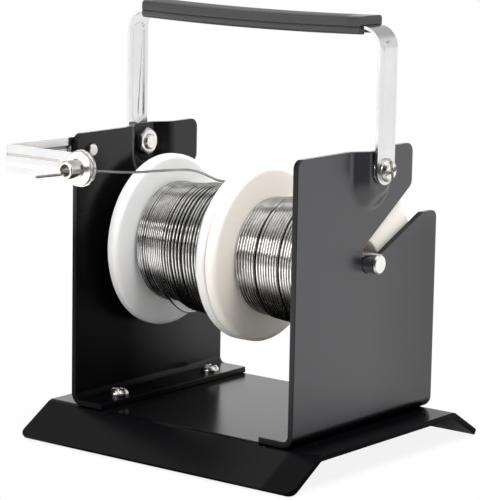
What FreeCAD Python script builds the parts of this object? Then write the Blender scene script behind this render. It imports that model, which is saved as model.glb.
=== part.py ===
import FreeCAD, Part
import math
import os
from FreeCAD import Vector

# Two-reel solder wire stand, in millimetres.
# X runs along the rod from the left plate to the right one, the guide arm reaches out to -Y, +Z is up.
# The pieces are drawn with Y = 0 on the middle plane of the side plates and Z = 0 on the table.
# At the end everything moves along Y, so that the origin lies under the middle of the overall box.

# sheet metal of the stand
sheet = 2.5
bend = 2.5

# base plate: a flat deck and two flaps that slope down to the table
base_margin = 12.6
deck_top = 12.7
deck_half_depth = 46.0
flap_angle = 31.0
flap_end_height = 1.344
base_corner = 4.0

# side plates
plate_half_depth = 47.0
plate_above_pivot = 7.45
upper_back = 28.7
foot_width = 16.7
plate_corner = 3.5
horn_depth = 10.0
horn_corner = 3.0
horn_slope_corner = 5.0
slot_upper_angle = 33.8
slot_end_rise = 5.87
slot_lower_angle = 24.7
lip_rise = 2.17
slot_mouth_corner = 4.0
slot_end_corner = 5.0
seat_angle = 46.0
lip_corner = 1.0
foot_corner = 1.0

# boss pressed outward in each plate for the handle screw
boss_height = 5.0
boss_half_width = 13.0
boss_slope_run = 6.6
boss_below_pivot = 16.0
boss_corner = 12.4

# rod and reels
rod_d = 8.0
rod_z = 78.6
rod_past_boss = 0.7
rod_chamfer = 0.6
seat_clearance = 0.1
running = 0.05
reel_d = 70.8
reel_length = 50.0
flange = 5.0
reel_gap = 0.3
reel_side_gap = 0.8
reel_play = 5.7
reel_bore_d = 13.2
hub_d = 28.0

# solder wire
wire_d = 1.0
turn_pitch = 1.9
left_small_r = 23.7
left_large_r = 28.0
right_small_r = 23.4
right_large_r = 27.8
left_turns = 3
right_turns = 2
winding_gap = 0.15
lead_angle = 12.0
lead_lift = 0.4

# carry handle: a bent strap with a grip on its top run
pivot_z = 115.6
strap = 1.2
strap_width = 11.6
handle_rise = 55.0
strap_bend = 8.5
panel_width = 8.4
panel_above_pivot = 6.4
panel_below_top = 8.4
panel_rise = 0.4
panel_corner = 3.0
grip_end_gap = 0.4
grip_width = 15.0
grip_above_strap = 3.6
grip_below_top = 6.9
grip_corner = 1.5
grip_lip = 1.9
grip_gap = 0.1

# handle screws
screw_d = 6.0
screw_proud = 1.0
screw_head_d = 9.2
screw_head = 2.8
washer = 0.8
washer_d = 11.5
nut_flats = 10.0
nut_height = 3.0
thread_gap = 0.05

# foot screws, two along each foot flange
foot_screw_inset = 10.4
foot_screw_end_gap = 17.5
foot_screw_d = 4.0
foot_head_d = 8.0
foot_head = 2.6
foot_nut_flats = 7.0
foot_nut = 3.2
foot_screw_proud = 0.6

# guide arm: a bent strip with a round end that carries the bushing
arm_pivot_inset = 8.4
arm_pivot_drop = 7.05
arm_rise = 0.94
arm = 1.15
arm_width = 11.0
arm_side_gap = 0.1
arm_forward = 46.9
arm_bend = 2.5
arm_end_x = -17.5
arm_end_d = 14.0
rib_width = 4.2
rib_rise = 0.35
bushing_d = 7.0
bushing_bore = 4.5
bushing_flange = 1.8
bushing_flange_d = 13.4
bushing_forward = 8.9
bushing_proud = 0.6
guide_screw_d = 5.0
guide_screw_proud = 1.4
guide_head_d = 8.6
guide_head = 2.6
guide_washer_d = 10.5

# sizes that follow from those above
plate_inner = (2.0 * reel_length + reel_gap + reel_side_gap + reel_play) / 2.0
plate_outer = plate_inner + sheet
boss_outer = plate_outer + boss_height
strap_outer = boss_outer + washer + strap
grip_half_length = strap_outer - strap_bend - grip_end_gap
boss_floor = plate_inner + boss_height
base_half_width = plate_outer + base_margin
plate_top = pivot_z + plate_above_pivot
foot_screw_x = plate_outer - foot_screw_inset
rod_r = rod_d / 2.0
rod_half_length = boss_outer + rod_past_boss
base_reach = deck_half_depth + (deck_top - flap_end_height) / math.tan(math.radians(flap_angle))
foot_screw_y = plate_half_depth - foot_screw_end_gap
arm_pivot_y = arm_pivot_inset - plate_half_depth
arm_front = arm_forward - arm_pivot_y
bushing_reach = arm_front + bushing_forward
reel_z = rod_z + rod_r + running - reel_bore_d / 2.0
right_reel_x = plate_inner - reel_side_gap - reel_length
left_reel_x = right_reel_x - reel_gap - reel_length
strap_top = pivot_z + handle_rise
grip_top = strap_top + grip_above_strap
grip_bottom = grip_top - grip_below_top
arm_pivot_z = plate_top - arm_pivot_drop
stand_y = (bushing_reach - base_reach) / 2.0


# Helpers for outlines and solids.


def at_plane(plane, offset, a, b):
    if plane == "YZ":
        return Vector(offset, a, b)
    if plane == "XZ":
        return Vector(a, offset, b)
    return Vector(a, b, offset)


def outline(corners, plane="YZ", offset=0.0):
    """Closed wire through corners (a, b, radius), each rounded by a tangent arc of its radius."""
    count = len(corners)
    rounds = []
    for i in range(count):
        a, b, radius = corners[i]
        here = Vector(a, b, 0)
        before = Vector(corners[i - 1][0], corners[i - 1][1], 0)
        after = Vector(corners[(i + 1) % count][0], corners[(i + 1) % count][1], 0)
        back = (before - here).normalize()
        ahead = (after - here).normalize()
        half = back.getAngle(ahead) / 2.0
        if radius < 1e-6 or abs(half - math.pi / 2.0) < 1e-6:
            rounds.append((here, None, here))
            continue
        reach = radius / math.tan(half)
        middle = (back + ahead).normalize()
        centre = here + middle * (radius / math.sin(half))
        rounds.append((here + back * reach, centre - middle * radius, here + ahead * reach))
    edges = []
    for i in range(count):
        start, crown, end = [p and at_plane(plane, offset, p.x, p.y) for p in rounds[i]]
        following = rounds[(i + 1) % count][0]
        following = at_plane(plane, offset, following.x, following.y)
        if crown:
            edges.append(Part.Arc(start, crown, end).toShape())
        if (following - end).Length > 1e-6:
            edges.append(Part.LineSegment(end, following).toShape())
    return Part.Wire(edges)


def prism(corners, plane, start, length):
    """Solid between the outline at start and the same outline at start + length."""
    way = {"YZ": Vector(length, 0, 0), "XZ": Vector(0, length, 0), "XY": Vector(0, 0, length)}
    return Part.Face(outline(corners, plane, start)).extrude(way[plane])


def rectangle(a0, a1, b0, b1, radius=0.0):
    return [(a0, b0, radius), (a1, b0, radius), (a1, b1, radius), (a0, b1, radius)]


def rod_along_x(radius, x0, x1, y, z):
    return Part.makeCylinder(radius, x1 - x0, Vector(x0, y, z), Vector(1, 0, 0))


def turned(profile, y, z):
    """Solid of revolution about the X direction through (y, z); the profile holds (x, radius) points."""
    points = [Vector(x, y, z + r) for x, r in profile]
    points.append(points[0])
    face = Part.Face(Part.makePolygon(points))
    return face.revolve(Vector(0, y, z), Vector(1, 0, 0), 360.0)


def hexagon_nut(flats, height, bore, base, direction):
    """Hexagon nut from base along direction."""
    corner = flats / 2.0 / math.cos(math.radians(30.0))
    points = [
        Vector(corner * math.cos(math.radians(60.0 * k)), corner * math.sin(math.radians(60.0 * k)), 0)
        for k in range(7)
    ]
    nut = Part.Face(Part.makePolygon(points)).extrude(Vector(0, 0, height))
    nut = nut.cut(Part.makeCylinder(bore / 2.0, height * 3.0, Vector(0, 0, -height)))
    nut.Placement = FreeCAD.Placement(base, FreeCAD.Rotation(Vector(0, 0, 1), direction))
    return nut


def pan_screw(shank_d, shank_length, head_d, head, under_head, direction, domed=True):
    """Pan head screw: the head rises from under_head along direction, the shank runs the other way."""
    rim = head_d / 2.0
    crown = [(rim, head * 0.55), (rim * 0.7, head)] if domed else [(rim, head)]
    profile = [(0, 0), (rim, 0)] + crown + [(0, head)]
    points = [Vector(r, 0, z) for r, z in profile]
    body = Part.Face(Part.makePolygon(points + [points[0]])).revolve(Vector(0, 0, 0), Vector(0, 0, 1), 360.0)
    shank = Part.makeCylinder(shank_d / 2.0, shank_length, Vector(0, 0, -shank_length))
    body = body.fuse(shank).removeSplitter()
    body.Placement = FreeCAD.Placement(under_head, FreeCAD.Rotation(Vector(0, 0, 1), direction))
    return body


def biarc(p0, t0, p1, t1):
    """Two tangent arcs from p0 along t0 to p1 along t1."""
    span = p1 - p0
    both = t0 + t1
    spread = 2.0 * (1.0 - t0.dot(t1))
    along = span.dot(both)
    reach = (-along + math.sqrt(along * along + spread * span.dot(span))) / spread
    knee0 = p0 + t0 * reach
    knee1 = p1 - t1 * reach
    joint = (knee0 + knee1) * 0.5
    edges = []
    for start, knee, end in ((p0, knee0, joint), (joint, knee1, p1)):
        middle = (start + end) * 0.5
        cosine = (end - start).Length / 2.0 / reach
        crown = middle + (knee - middle) * (cosine / (1.0 + cosine))
        edges.append(Part.Arc(start, crown, end).toShape())
    return edges


def tube_along(edges, profile):
    shell = Part.BRepOffsetAPI.MakePipeShell(Part.Wire(edges))
    shell.add(profile, False, False)
    shell.build()
    shell.makeSolid()
    return shell.shape()


def base_plate():
    """Flat deck with a flap at the front and one at the back, from one bent sheet."""
    slope = math.tan(math.radians(flap_angle))
    under = deck_top - sheet / math.cos(math.radians(flap_angle))
    inner_bend = deck_half_depth - sheet * math.tan(math.radians(flap_angle / 2.0))
    strip = deck_half_depth + under / slope
    back = [
        (inner_bend, deck_top - sheet, bend),
        (strip, 0, 0),
        (base_reach, 0, 0),
        (base_reach, flap_end_height, 0.3),
        (deck_half_depth, deck_top, bend + sheet),
    ]
    front = [(-y, z, r) for y, z, r in reversed(back)]
    plate = prism(back + front, "YZ", -base_half_width, 2.0 * base_half_width)
    plan = rectangle(-base_half_width, base_half_width, -base_reach, base_reach, base_corner)
    plate = plate.common(prism(plan, "XY", 0, deck_top))
    for x in (-foot_screw_x, foot_screw_x):
        for y in (-foot_screw_y, foot_screw_y):
            hole = Part.makeCylinder(foot_screw_d / 2.0 + thread_gap, deck_top, Vector(x, y, 0))
            plate = plate.cut(hole)
    return plate


def boss_form(x0, x1, inset0, inset1):
    """Open-topped boss between x0 and x1, its outline drawn in by inset0 and inset1 there."""
    bottom = pivot_z - boss_below_pivot
    corner_y = boss_half_width - boss_corner
    corner_z = bottom + boss_corner
    top = plate_top + 2.0 * sheet
    ends = ((x0, inset0), (x1, inset1))
    column = [outline([(-corner_y, bottom + inset, 0), (corner_y, bottom + inset, 0),
                       (corner_y, top, 0), (-corner_y, top, 0)], "YZ", x) for x, inset in ends]
    flanks = [outline([(inset - boss_half_width, corner_z, 0), (boss_half_width - inset, corner_z, 0),
                       (boss_half_width - inset, top, 0), (inset - boss_half_width, top, 0)], "YZ", x)
              for x, inset in ends]
    form = Part.makeLoft(column, True, True).fuse(Part.makeLoft(flanks, True, True))
    for side in (-1.0, 1.0):
        corner = Part.makeCone(boss_corner - inset0, boss_corner - inset1, x1 - x0,
                               Vector(x0, side * corner_y, corner_z), Vector(1, 0, 0))
        form = form.fuse(corner)
    return form.removeSplitter()


def side_plate():
    """The right side plate; the left one is its mirror image."""
    profile = [
        (plate_outer, deck_top, bend + sheet),
        (plate_outer, plate_top, 0),
        (plate_inner, plate_top, 0),
        (plate_inner, deck_top + sheet, bend),
        (plate_outer - foot_width, deck_top + sheet, 0),
        (plate_outer - foot_width, deck_top, 0),
    ]
    plate = prism(profile, "XZ", -plate_half_depth, 2.0 * plate_half_depth)

    # silhouette with the seat for the rod and the slanted slot that leads up and out of the back edge
    upper = math.tan(math.radians(slot_upper_angle))
    lower = math.tan(math.radians(slot_lower_angle))
    seat_r = rod_r + seat_clearance
    rise = math.radians(seat_angle)
    slot_end = -seat_r
    upper_at_end = rod_z + slot_end_rise
    upper_at_back = upper_at_end + upper * (upper_back - slot_end)
    wall_y = seat_r * math.sin(rise)
    wall_z = rod_z - seat_r * math.cos(rise)
    lip_z = rod_z + lip_rise
    lip_y = wall_y + (lip_z - wall_z) / math.tan(rise)
    horn_front = plate_half_depth - horn_depth
    horn_top = lip_z + lower * (horn_front - lip_y)
    seat_bottom = wall_z - (wall_y - slot_end) * math.tan(rise)
    silhouette = [
        (-plate_half_depth, deck_top, 0),
        (plate_half_depth, deck_top, 0),
        (plate_half_depth, horn_top, horn_corner),
        (horn_front, horn_top, horn_slope_corner),
        (lip_y, lip_z, lip_corner),
        (slot_end, seat_bottom, seat_r),
        (slot_end, upper_at_end, slot_end_corner),
        (upper_back, upper_at_back, slot_mouth_corner),
        (upper_back, plate_top, plate_corner),
        (-plate_half_depth, plate_top, plate_corner),
    ]
    plate = plate.common(prism(silhouette, "YZ", 0, plate_outer))

    # rounded free corners of the foot flange
    foot = rectangle(plate_outer - foot_width, plate_outer + foot_width, -plate_half_depth, plate_half_depth, foot_corner)
    plate = plate.common(prism(foot, "XY", 0, plate_top))

    # boss: its outer skin goes on, then the recess behind it comes out
    shift = sheet * math.tan(math.atan2(boss_height, boss_slope_run) / 2.0)
    skin = boss_form(plate_outer, boss_outer, 0.0, boss_slope_run)
    recess = boss_form(plate_inner, boss_floor, shift, boss_slope_run + shift)
    below_top = Part.makeBox(
        boss_outer, 2.0 * plate_half_depth, plate_top, Vector(0, -plate_half_depth, 0))
    plate = plate.fuse(skin.common(below_top)).cut(recess)

    # holes for the handle screw and the two foot screws
    plate = plate.cut(rod_along_x(screw_d / 2.0 + thread_gap, plate_inner, boss_outer + sheet, 0, pivot_z))
    for y in (-foot_screw_y, foot_screw_y):
        hole = Part.makeCylinder(foot_screw_d / 2.0 + thread_gap, deck_top * 2.0, Vector(foot_screw_x, y, 0))
        plate = plate.cut(hole)
    return plate.removeSplitter()


def mirrored(shape):
    return shape.mirror(Vector(0, 0, 0), Vector(1, 0, 0))


def left_side_plate():
    hole = rod_along_x(guide_screw_d / 2.0 + thread_gap, -plate_outer - 1.0, -plate_inner + 1.0,
                       arm_pivot_y, arm_pivot_z)
    return mirrored(side_plate()).cut(hole)


def foot_places():
    return [(x, y) for x in (-foot_screw_x, foot_screw_x) for y in (-foot_screw_y, foot_screw_y)]


def foot_screws():
    length = 2.0 * sheet + foot_nut + foot_screw_proud
    return Part.makeCompound([
        pan_screw(foot_screw_d, length, foot_head_d, foot_head,
                  Vector(x, y, deck_top + sheet), Vector(0, 0, 1), domed=False)
        for x, y in foot_places()
    ])


def foot_nuts():
    return Part.makeCompound([
        hexagon_nut(foot_nut_flats, foot_nut, foot_screw_d + 2.0 * thread_gap,
                    Vector(x, y, deck_top - sheet), Vector(0, 0, -1))
        for x, y in foot_places()
    ])


def axle_rod():
    end = rod_half_length - rod_chamfer
    shoulder = rod_r - rod_chamfer
    return turned([
        (-rod_half_length, 0), (-rod_half_length, shoulder), (-end, rod_r),
        (end, rod_r), (rod_half_length, shoulder), (rod_half_length, 0),
    ], 0, rod_z)


def reel(x0):
    """Reel from x0 to x0 + reel_length: two flanges on a hub with a bore."""
    x1 = x0 + reel_length
    rim = reel_d / 2.0
    hub = hub_d / 2.0
    bore = reel_bore_d / 2.0
    return turned([
        (x0, bore), (x0, rim), (x0 + flange, rim), (x0 + flange, hub),
        (x1 - flange, hub), (x1 - flange, rim), (x1, rim), (x1, bore),
    ], 0, reel_z)


def winding_radius(x, x0, small, large):
    """Outer radius of the winding at x; it grows evenly from its left end to its right end."""
    return small + (large - small) * (x - x0 - flange) / (reel_length - 2.0 * flange)


def winding_core(x0, small, large, turns_from, turns_to):
    """Inner layers: two steps of full radius where they show, one wire lower under the outer turns."""
    start = x0 + flange + winding_gap
    end = x0 + reel_length - flange - winding_gap
    hub = hub_d / 2.0 + running
    under = winding_radius(turns_from, x0, small, large) - 2.0 * wire_section() - winding_gap
    profile = [(start, hub)]
    if turns_from > start + 2.0 * wire_d:
        step = turns_from - wire_d
        middle = (start + step) / 2.0
        lower = winding_radius((start + middle) / 2.0, x0, small, large)
        upper = winding_radius((middle + step) / 2.0, x0, small, large)
        profile.extend([(start, lower), (middle, lower), (middle, upper), (step, upper), (step, under)])
    else:
        profile.append((start, under))
    if turns_to < end - 2.0 * wire_d:
        step = turns_to + wire_d
        profile.append((step, under))
        profile.append((step, large))
        profile.append((end, large))
    else:
        profile.append((end, under))
    profile.append((end, hub))
    return turned(profile, 0, reel_z)


def wire_section():
    """Half diagonal of the square section that has the round wire's area."""
    return math.sqrt(math.pi / 2.0) * wire_d / 2.0


def turn_point(t, x0, small, large, turns_from, end_angle, count):
    """Point of the outer turns' middle line after t turns, and its direction there."""
    def place(s):
        x = turns_from + turn_pitch * s
        radius = winding_radius(x, x0, small, large) - wire_section()
        angle = math.radians(end_angle) + 2.0 * math.pi * (count - s)
        return Vector(x, radius * math.sin(angle), reel_z + radius * math.cos(angle))
    step = 1e-4
    return place(t), (place(t + step) - place(t - step)).normalize()


def winding_turns(x0, small, large, turns_from, end_angle, count):
    """One unbroken tube: half-turn biarcs, with a straight run of one wire diameter at each end."""
    knots = [turn_point(k / 2.0, x0, small, large, turns_from, end_angle, count)
             for k in range(2 * count + 1)]
    edges = []
    first, way = knots[0]
    edges.append(Part.LineSegment(first - way * wire_d, first).toShape())
    for (p0, t0), (p1, t1) in zip(knots, knots[1:]):
        edges.extend(biarc(p0, t0, p1, t1))
    last, out = knots[-1]
    edges.append(Part.LineSegment(last, last + out * wire_d).toShape())
    start = first - way * wire_d
    radial = (start - Vector(start.x, 0, reel_z))
    radial = (radial - way * radial.dot(way)).normalize()
    across = way.cross(radial)
    reach = wire_section()
    corners = [start + radial * reach, start + across * reach, start - radial * reach, start - across * reach]
    profile = Part.makePolygon(corners + [corners[0]])
    tube = tube_along(edges, profile)
    middle = [e.discretize(Number=24) for e in edges]
    points = [p for run in middle for p in run]
    least = min(
        (points[i] - points[j]).Length
        for i in range(0, len(points))
        for j in range(i + 60, min(i + 130, len(points)))
    )
    print("least gap between turns", round(least - 2.0 * reach, 2), "mm")
    return tube, last + out * wire_d, out


def routed_tube(route, diameter, share=0.45):
    """Six-sided tube of the round wire's area along straight runs joined by the largest tangent arcs."""
    edges = []
    here = route[0]
    for before, knee, after in zip(route, route[1:], route[2:]):
        back = before - knee
        ahead = after - knee
        turn = math.pi - back.getAngle(ahead)
        reach = share * min(back.Length, ahead.Length)
        radius = reach / math.tan(turn / 2.0)
        print("lead bend radius", round(radius, 1), "turn", round(math.degrees(turn), 1))
        start = knee + back.normalize() * reach
        end = knee + ahead.normalize() * reach
        inward = ((start + end) * 0.5 - knee).normalize()
        crown = knee + inward * (math.hypot(radius, reach) - radius)
        edges.append(Part.LineSegment(here, start).toShape())
        edges.append(Part.Arc(start, crown, end).toShape())
        here = end
    edges.append(Part.LineSegment(here, route[-1]).toShape())
    length = sum(e.Length for e in edges)
    way = (route[1] - route[0]).normalize()
    across = way.cross(Vector(0, 0, 1)).normalize()
    level = across.cross(way)
    corner = math.sqrt(math.pi * diameter ** 2 / 4.0 / (3.0 * math.sin(math.radians(60.0))))
    ring = [
        route[0] + across * corner * math.cos(math.radians(60.0 * k + 30.0))
        + level * corner * math.sin(math.radians(60.0 * k + 30.0))
        for k in range(7)
    ]
    tube = tube_along(edges, Part.makePolygon(ring))
    expected = math.pi * diameter ** 2 / 4.0 * length
    print("lead length", round(length, 1), "volume over section x length", round(tube.Volume / expected, 3))
    return tube


def handle_strap():
    outer = strap_outer
    inner = outer - strap
    foot = pivot_z - strap_width / 2.0
    section = [
        (-outer, foot, 0), (-outer, strap_top, strap_bend), (outer, strap_top, strap_bend), (outer, foot, 0),
        (inner, foot, 0), (inner, strap_top - strap, strap_bend - strap),
        (-inner, strap_top - strap, strap_bend - strap), (-inner, foot, 0),
    ]
    half = strap_width / 2.0
    body = prism(section, "XZ", -half, strap_width)
    ends = [(-half, foot, half - 0.001), (half, foot, half - 0.001), (half, strap_top, 0), (-half, strap_top, 0)]
    body = body.common(prism(ends, "YZ", -outer, 2.0 * outer))
    for side in (-1.0, 1.0):
        wide = panel_width / 2.0
        raised = rectangle(-wide, wide, pivot_z + panel_above_pivot, strap_top - panel_below_top, panel_corner)
        ridge = prism(raised, "YZ", side * outer, side * panel_rise)
        hollow = prism(raised, "YZ", side * inner, side * panel_rise)
        body = body.fuse(ridge).cut(hollow)
        start = inner - 1.0 if side > 0 else -outer - 1.0
        body = body.cut(rod_along_x(screw_d / 2.0 + running, start, start + strap + 2.0, 0, pivot_z))
    return body.removeSplitter()


def handle_grip():
    """Moulded grip with a C section that is pushed over the strap's top run."""
    half = grip_width / 2.0
    strap_under = strap_top - strap
    shell = prism(rectangle(-half, half, grip_bottom, grip_top, grip_corner), "YZ",
                  -grip_half_length, 2.0 * grip_half_length)
    room = strap_width / 2.0 + grip_gap
    floor = strap_under - grip_gap
    cavity = rectangle(-room, room, floor, strap_top + grip_gap)
    shell = shell.cut(prism(cavity, "YZ", -grip_half_length - 1.0, 2.0 * grip_half_length + 2.0))
    mouth = room - grip_lip
    opening = rectangle(-mouth, mouth, grip_bottom - 1.0, strap_under + grip_gap)
    shell = shell.cut(prism(opening, "YZ", -grip_half_length - 1.0, 2.0 * grip_half_length + 2.0))
    return shell


def handle_hardware():
    """Screw, washer and nut on the right side, drawn from the boss outward."""
    seat = boss_outer + washer + strap
    end = boss_floor - nut_height - screw_proud
    screw = pan_screw(screw_d, seat - end, screw_head_d, screw_head,
                      Vector(seat, 0, pivot_z), Vector(1, 0, 0))
    ring = rod_along_x(washer_d / 2.0, boss_outer, boss_outer + washer, 0, pivot_z)
    ring = ring.cut(rod_along_x(screw_d / 2.0 + thread_gap, boss_outer - 1.0, seat, 0, pivot_z))
    nut = hexagon_nut(nut_flats, nut_height, screw_d + 2.0 * thread_gap,
                      Vector(boss_floor, 0, pivot_z), Vector(-1, 0, 0))
    return screw, ring, nut


def guide_arm():
    inner = -plate_outer - arm_side_gap
    outer = inner - arm
    pivot = arm_pivot_y
    half = arm_width / 2.0
    section = [
        (inner, pivot + half, 0), (outer, pivot + half, 0), (outer, -arm_front, arm_bend),
        (arm_end_x + half, -arm_front, 0), (arm_end_x + half, -arm_front + arm, 0),
        (inner, -arm_front + arm, arm_bend - arm),
    ]
    body = prism(section, "XY", arm_pivot_z - half, arm_width)
    low = arm_pivot_z - half
    high = arm_pivot_z + half
    side = [(pivot + half, low, half - 0.001), (pivot + half, high, half - 0.001),
            (-arm_front - 1.0, high, 0), (-arm_front - 1.0, low, 0)]
    body = body.common(prism(side, "YZ", outer - 1.0, arm_end_x + half - outer + 2.0))
    trimmed = [(outer - 1.0, low, 0), (arm_end_x, low, 0), (arm_end_x, high, 0), (outer - 1.0, high, 0)]
    body = body.common(prism(trimmed, "XZ", -arm_front - 1.0, arm_front + pivot + half + 2.0))
    disc = Part.makeCylinder(arm_end_d / 2.0, arm, Vector(arm_end_x, -arm_front, arm_pivot_z), Vector(0, 1, 0))
    body = body.fuse(disc)

    # raised rib along both legs and round the corner, with its hollow behind
    near = pivot - half - 1.5
    far = arm_end_x - arm_end_d / 2.0 - 1.0
    for out, shift in ((True, 0.0), (False, arm)):
        face = outer + shift
        front = -arm_front + shift
        corner = arm_bend - shift
        rise = rib_rise
        rib = [
            (face, near, 0), (face - rise, near, 0), (face - rise, front - rise, corner + rise),
            (far, front - rise, 0), (far, front, 0), (face, front, corner),
        ]
        band = prism(rib, "XY", arm_pivot_z - rib_width / 2.0, rib_width)
        body = body.fuse(band) if out else body.cut(band)
    hole = rod_along_x(guide_screw_d / 2.0 + running, outer - 1.0, inner + 1.0, pivot, arm_pivot_z)
    body = body.cut(hole)
    bore = Part.makeCylinder(bushing_d / 2.0 + thread_gap, arm * 3.0,
                             Vector(arm_end_x, -arm_front - arm, arm_pivot_z), Vector(0, 1, 0))
    return body.cut(bore).removeSplitter()


def guide_bushing():
    """Flanged tube through the arm's round end, proud of it by a little behind."""
    front = -arm_front
    back = front + arm
    r = bushing_d / 2.0
    bore = bushing_bore / 2.0
    nose = (r - bore) * 0.4
    points = [
        (-bushing_reach, bore), (-bushing_reach, r - nose), (-bushing_reach + nose, r),
        (front - bushing_flange, r), (front - bushing_flange, bushing_flange_d / 2.0),
        (front, bushing_flange_d / 2.0), (front, r), (back + bushing_proud, r),
        (back + bushing_proud, bore),
    ]
    corners = [Vector(arm_end_x + radius, y, arm_pivot_z) for y, radius in points]
    face = Part.Face(Part.makePolygon(corners + [corners[0]]))
    return face.revolve(Vector(arm_end_x, 0, arm_pivot_z), Vector(0, 1, 0), 360.0)


def guide_hardware():
    """Pan head screw with a washer, screwed into the left plate from outside."""
    arm_face = -plate_outer - arm_side_gap - arm
    seat = arm_face - washer
    length = -plate_inner + guide_screw_proud - seat
    screw = pan_screw(guide_screw_d, length, guide_head_d, guide_head,
                      Vector(seat, arm_pivot_y, arm_pivot_z), Vector(-1, 0, 0))
    ring = rod_along_x(guide_washer_d / 2.0, seat, arm_face, arm_pivot_y, arm_pivot_z)
    ring = ring.cut(rod_along_x(guide_screw_d / 2.0 + thread_gap, seat - 1.0, arm_face + 1.0,
                                arm_pivot_y, arm_pivot_z))
    return screw, ring


def raised_arm(shape):
    """The arm rests with its front end a little up."""
    shape.rotate(Vector(0, arm_pivot_y, arm_pivot_z), Vector(1, 0, 0), -arm_rise)
    return shape


def build():
    left_x = left_reel_x
    right_x = right_reel_x
    left_end = left_x + reel_length - flange
    left_from = left_end - winding_gap - wire_section() - turn_pitch * left_turns
    right_from = right_x + flange + winding_gap + wire_section()
    left_tube, lead_start, lead_way = winding_turns(
        left_x, left_small_r, left_large_r, left_from, lead_angle, left_turns)
    right_tube, loose, loose_way = winding_turns(
        right_x, right_small_r, right_large_r, right_from, -150.0, right_turns)
    left_core = winding_core(left_x, left_small_r, left_large_r, left_from, left_end)
    right_core = winding_core(right_x, right_small_r, right_large_r, right_from,
                              right_from + turn_pitch * right_turns)

    bore_z = arm_pivot_z + arm_forward * math.sin(math.radians(arm_rise))
    wire_z = bore_z - bushing_bore / 2.0 + wire_d / 2.0 + lead_lift
    rim_z = reel_z + reel_d / 2.0
    lead_points = [
        lead_start,
        lead_start + lead_way * 6.0,
        Vector(left_end - 3.6, -14.5, rim_z - 6.2),
        Vector(left_end - 5.0, -22.7, rim_z - 2.25),
        Vector(left_end - 6.1, -29.8, rim_z + 0.15),
        Vector(left_end - 8.0, -42.0, rim_z + 0.95),
        Vector(arm_end_x + 3.9, -arm_front + 25.5, rim_z + 1.45),
        Vector(arm_end_x + 1.9, -arm_front + 13.5, wire_z - 1.1),
        Vector(arm_end_x + 0.05, -arm_front + 2.9, wire_z),
        Vector(arm_end_x, -arm_front - 11.5, wire_z + 0.1),
        Vector(arm_end_x, -arm_front - 24.7, wire_z + 0.6),
    ]
    screw, ring, nut = handle_hardware()
    guide_screw, guide_ring = guide_hardware()
    pieces = {
        "base_plate": base_plate(),
        "left_side_plate": left_side_plate(),
        "right_side_plate": side_plate(),
        "foot_screws": foot_screws(),
        "foot_nuts": foot_nuts(),
        "axle_rod": axle_rod(),
        "left_spool": reel(left_x),
        "right_spool": reel(right_x),
        "left_winding_core": left_core,
        "left_winding_turns": left_tube,
        "right_winding_core": right_core,
        "right_winding_turns": right_tube,
        "solder_lead": routed_tube(lead_points, wire_d),
        "handle_strap": handle_strap(),
        "handle_grip": handle_grip(),
        "handle_screws": Part.makeCompound([screw, mirrored(screw)]),
        "handle_washers": Part.makeCompound([ring, mirrored(ring)]),
        "handle_nuts": Part.makeCompound([nut, mirrored(nut)]),
        "guide_arm": raised_arm(guide_arm()),
        "guide_bushing": raised_arm(guide_bushing()),
        "guide_screw": guide_screw,
        "guide_washer": guide_ring,
    }
    return pieces


os.makedirs("parts", exist_ok=True)
for name, shape in build().items():
    placed = shape.copy()
    placed.translate(Vector(0, stand_y, 0))
    placed.exportStep("parts/" + name + ".step")
    print(name, len(placed.Solids), "valid" if placed.isValid() else "NOT VALID", round(placed.Volume, 1))
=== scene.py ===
# %% [markdown]
# # A two-reel solder wire stand
# The stand holds two reels of solder wire on one lift-off rod. It has a bent base sheet, two side
# sheets, a carry handle that folds, and a swinging arm whose tube guides the wire to the work.
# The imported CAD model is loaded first. It gives every place, and each piece made here goes where the
# CAD solid is, so nothing has to be fitted by eye.

# %% Load the fixed frame
import math
import bmesh
import bpy
from mathutils import Matrix, Vector


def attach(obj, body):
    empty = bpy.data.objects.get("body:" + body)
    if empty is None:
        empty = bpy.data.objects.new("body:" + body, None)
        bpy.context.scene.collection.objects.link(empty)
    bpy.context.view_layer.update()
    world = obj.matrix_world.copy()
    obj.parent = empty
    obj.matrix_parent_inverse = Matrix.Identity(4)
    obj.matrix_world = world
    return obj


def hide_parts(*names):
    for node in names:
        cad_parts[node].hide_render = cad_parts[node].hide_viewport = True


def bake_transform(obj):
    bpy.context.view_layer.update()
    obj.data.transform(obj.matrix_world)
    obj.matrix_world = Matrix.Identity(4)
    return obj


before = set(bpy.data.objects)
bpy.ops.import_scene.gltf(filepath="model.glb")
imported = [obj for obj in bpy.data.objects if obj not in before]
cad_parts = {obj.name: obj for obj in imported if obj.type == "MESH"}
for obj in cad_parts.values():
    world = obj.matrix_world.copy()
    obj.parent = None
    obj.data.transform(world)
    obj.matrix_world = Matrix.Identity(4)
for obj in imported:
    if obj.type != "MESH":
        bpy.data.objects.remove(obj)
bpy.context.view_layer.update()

# %% [markdown]
# ## Places
# Sizes are written in millimetres, as on a drawing, and measured from the middle plane between the
# front and back edges of the side sheets. The frame has its origin under the middle of the whole
# box, guide arm included, so one helper turns a drawing place into a place in metres.

# %% Places on the stand
sheets_middle_y = 14.75


def at(x, y, z):
    """A place in metres from millimetres on the drawing."""
    return Vector((x, y + sheets_middle_y, z)) / 1000.0


# %% [markdown]
# ## The camera
# The photograph was taken from the front right, a little above the reels, from about a metre away.
# A camera's place can be found by matching the corners of the base and the tops of the side sheets.
# Here its three directions are written out, because that also gives the small roll of one degree.

# %% Camera
lens_pixels = 2465.27
picture_height = 500
film_height = 36.0
camera_right = Vector((0.78786, 0.61561, 0.01725)).normalized()
camera_ahead = Vector((-0.60411, 0.77797, -0.17266)).normalized()
camera_up = camera_right.cross(camera_ahead)
camera_place = at(593.52, -773.71, 247.67)

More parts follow.
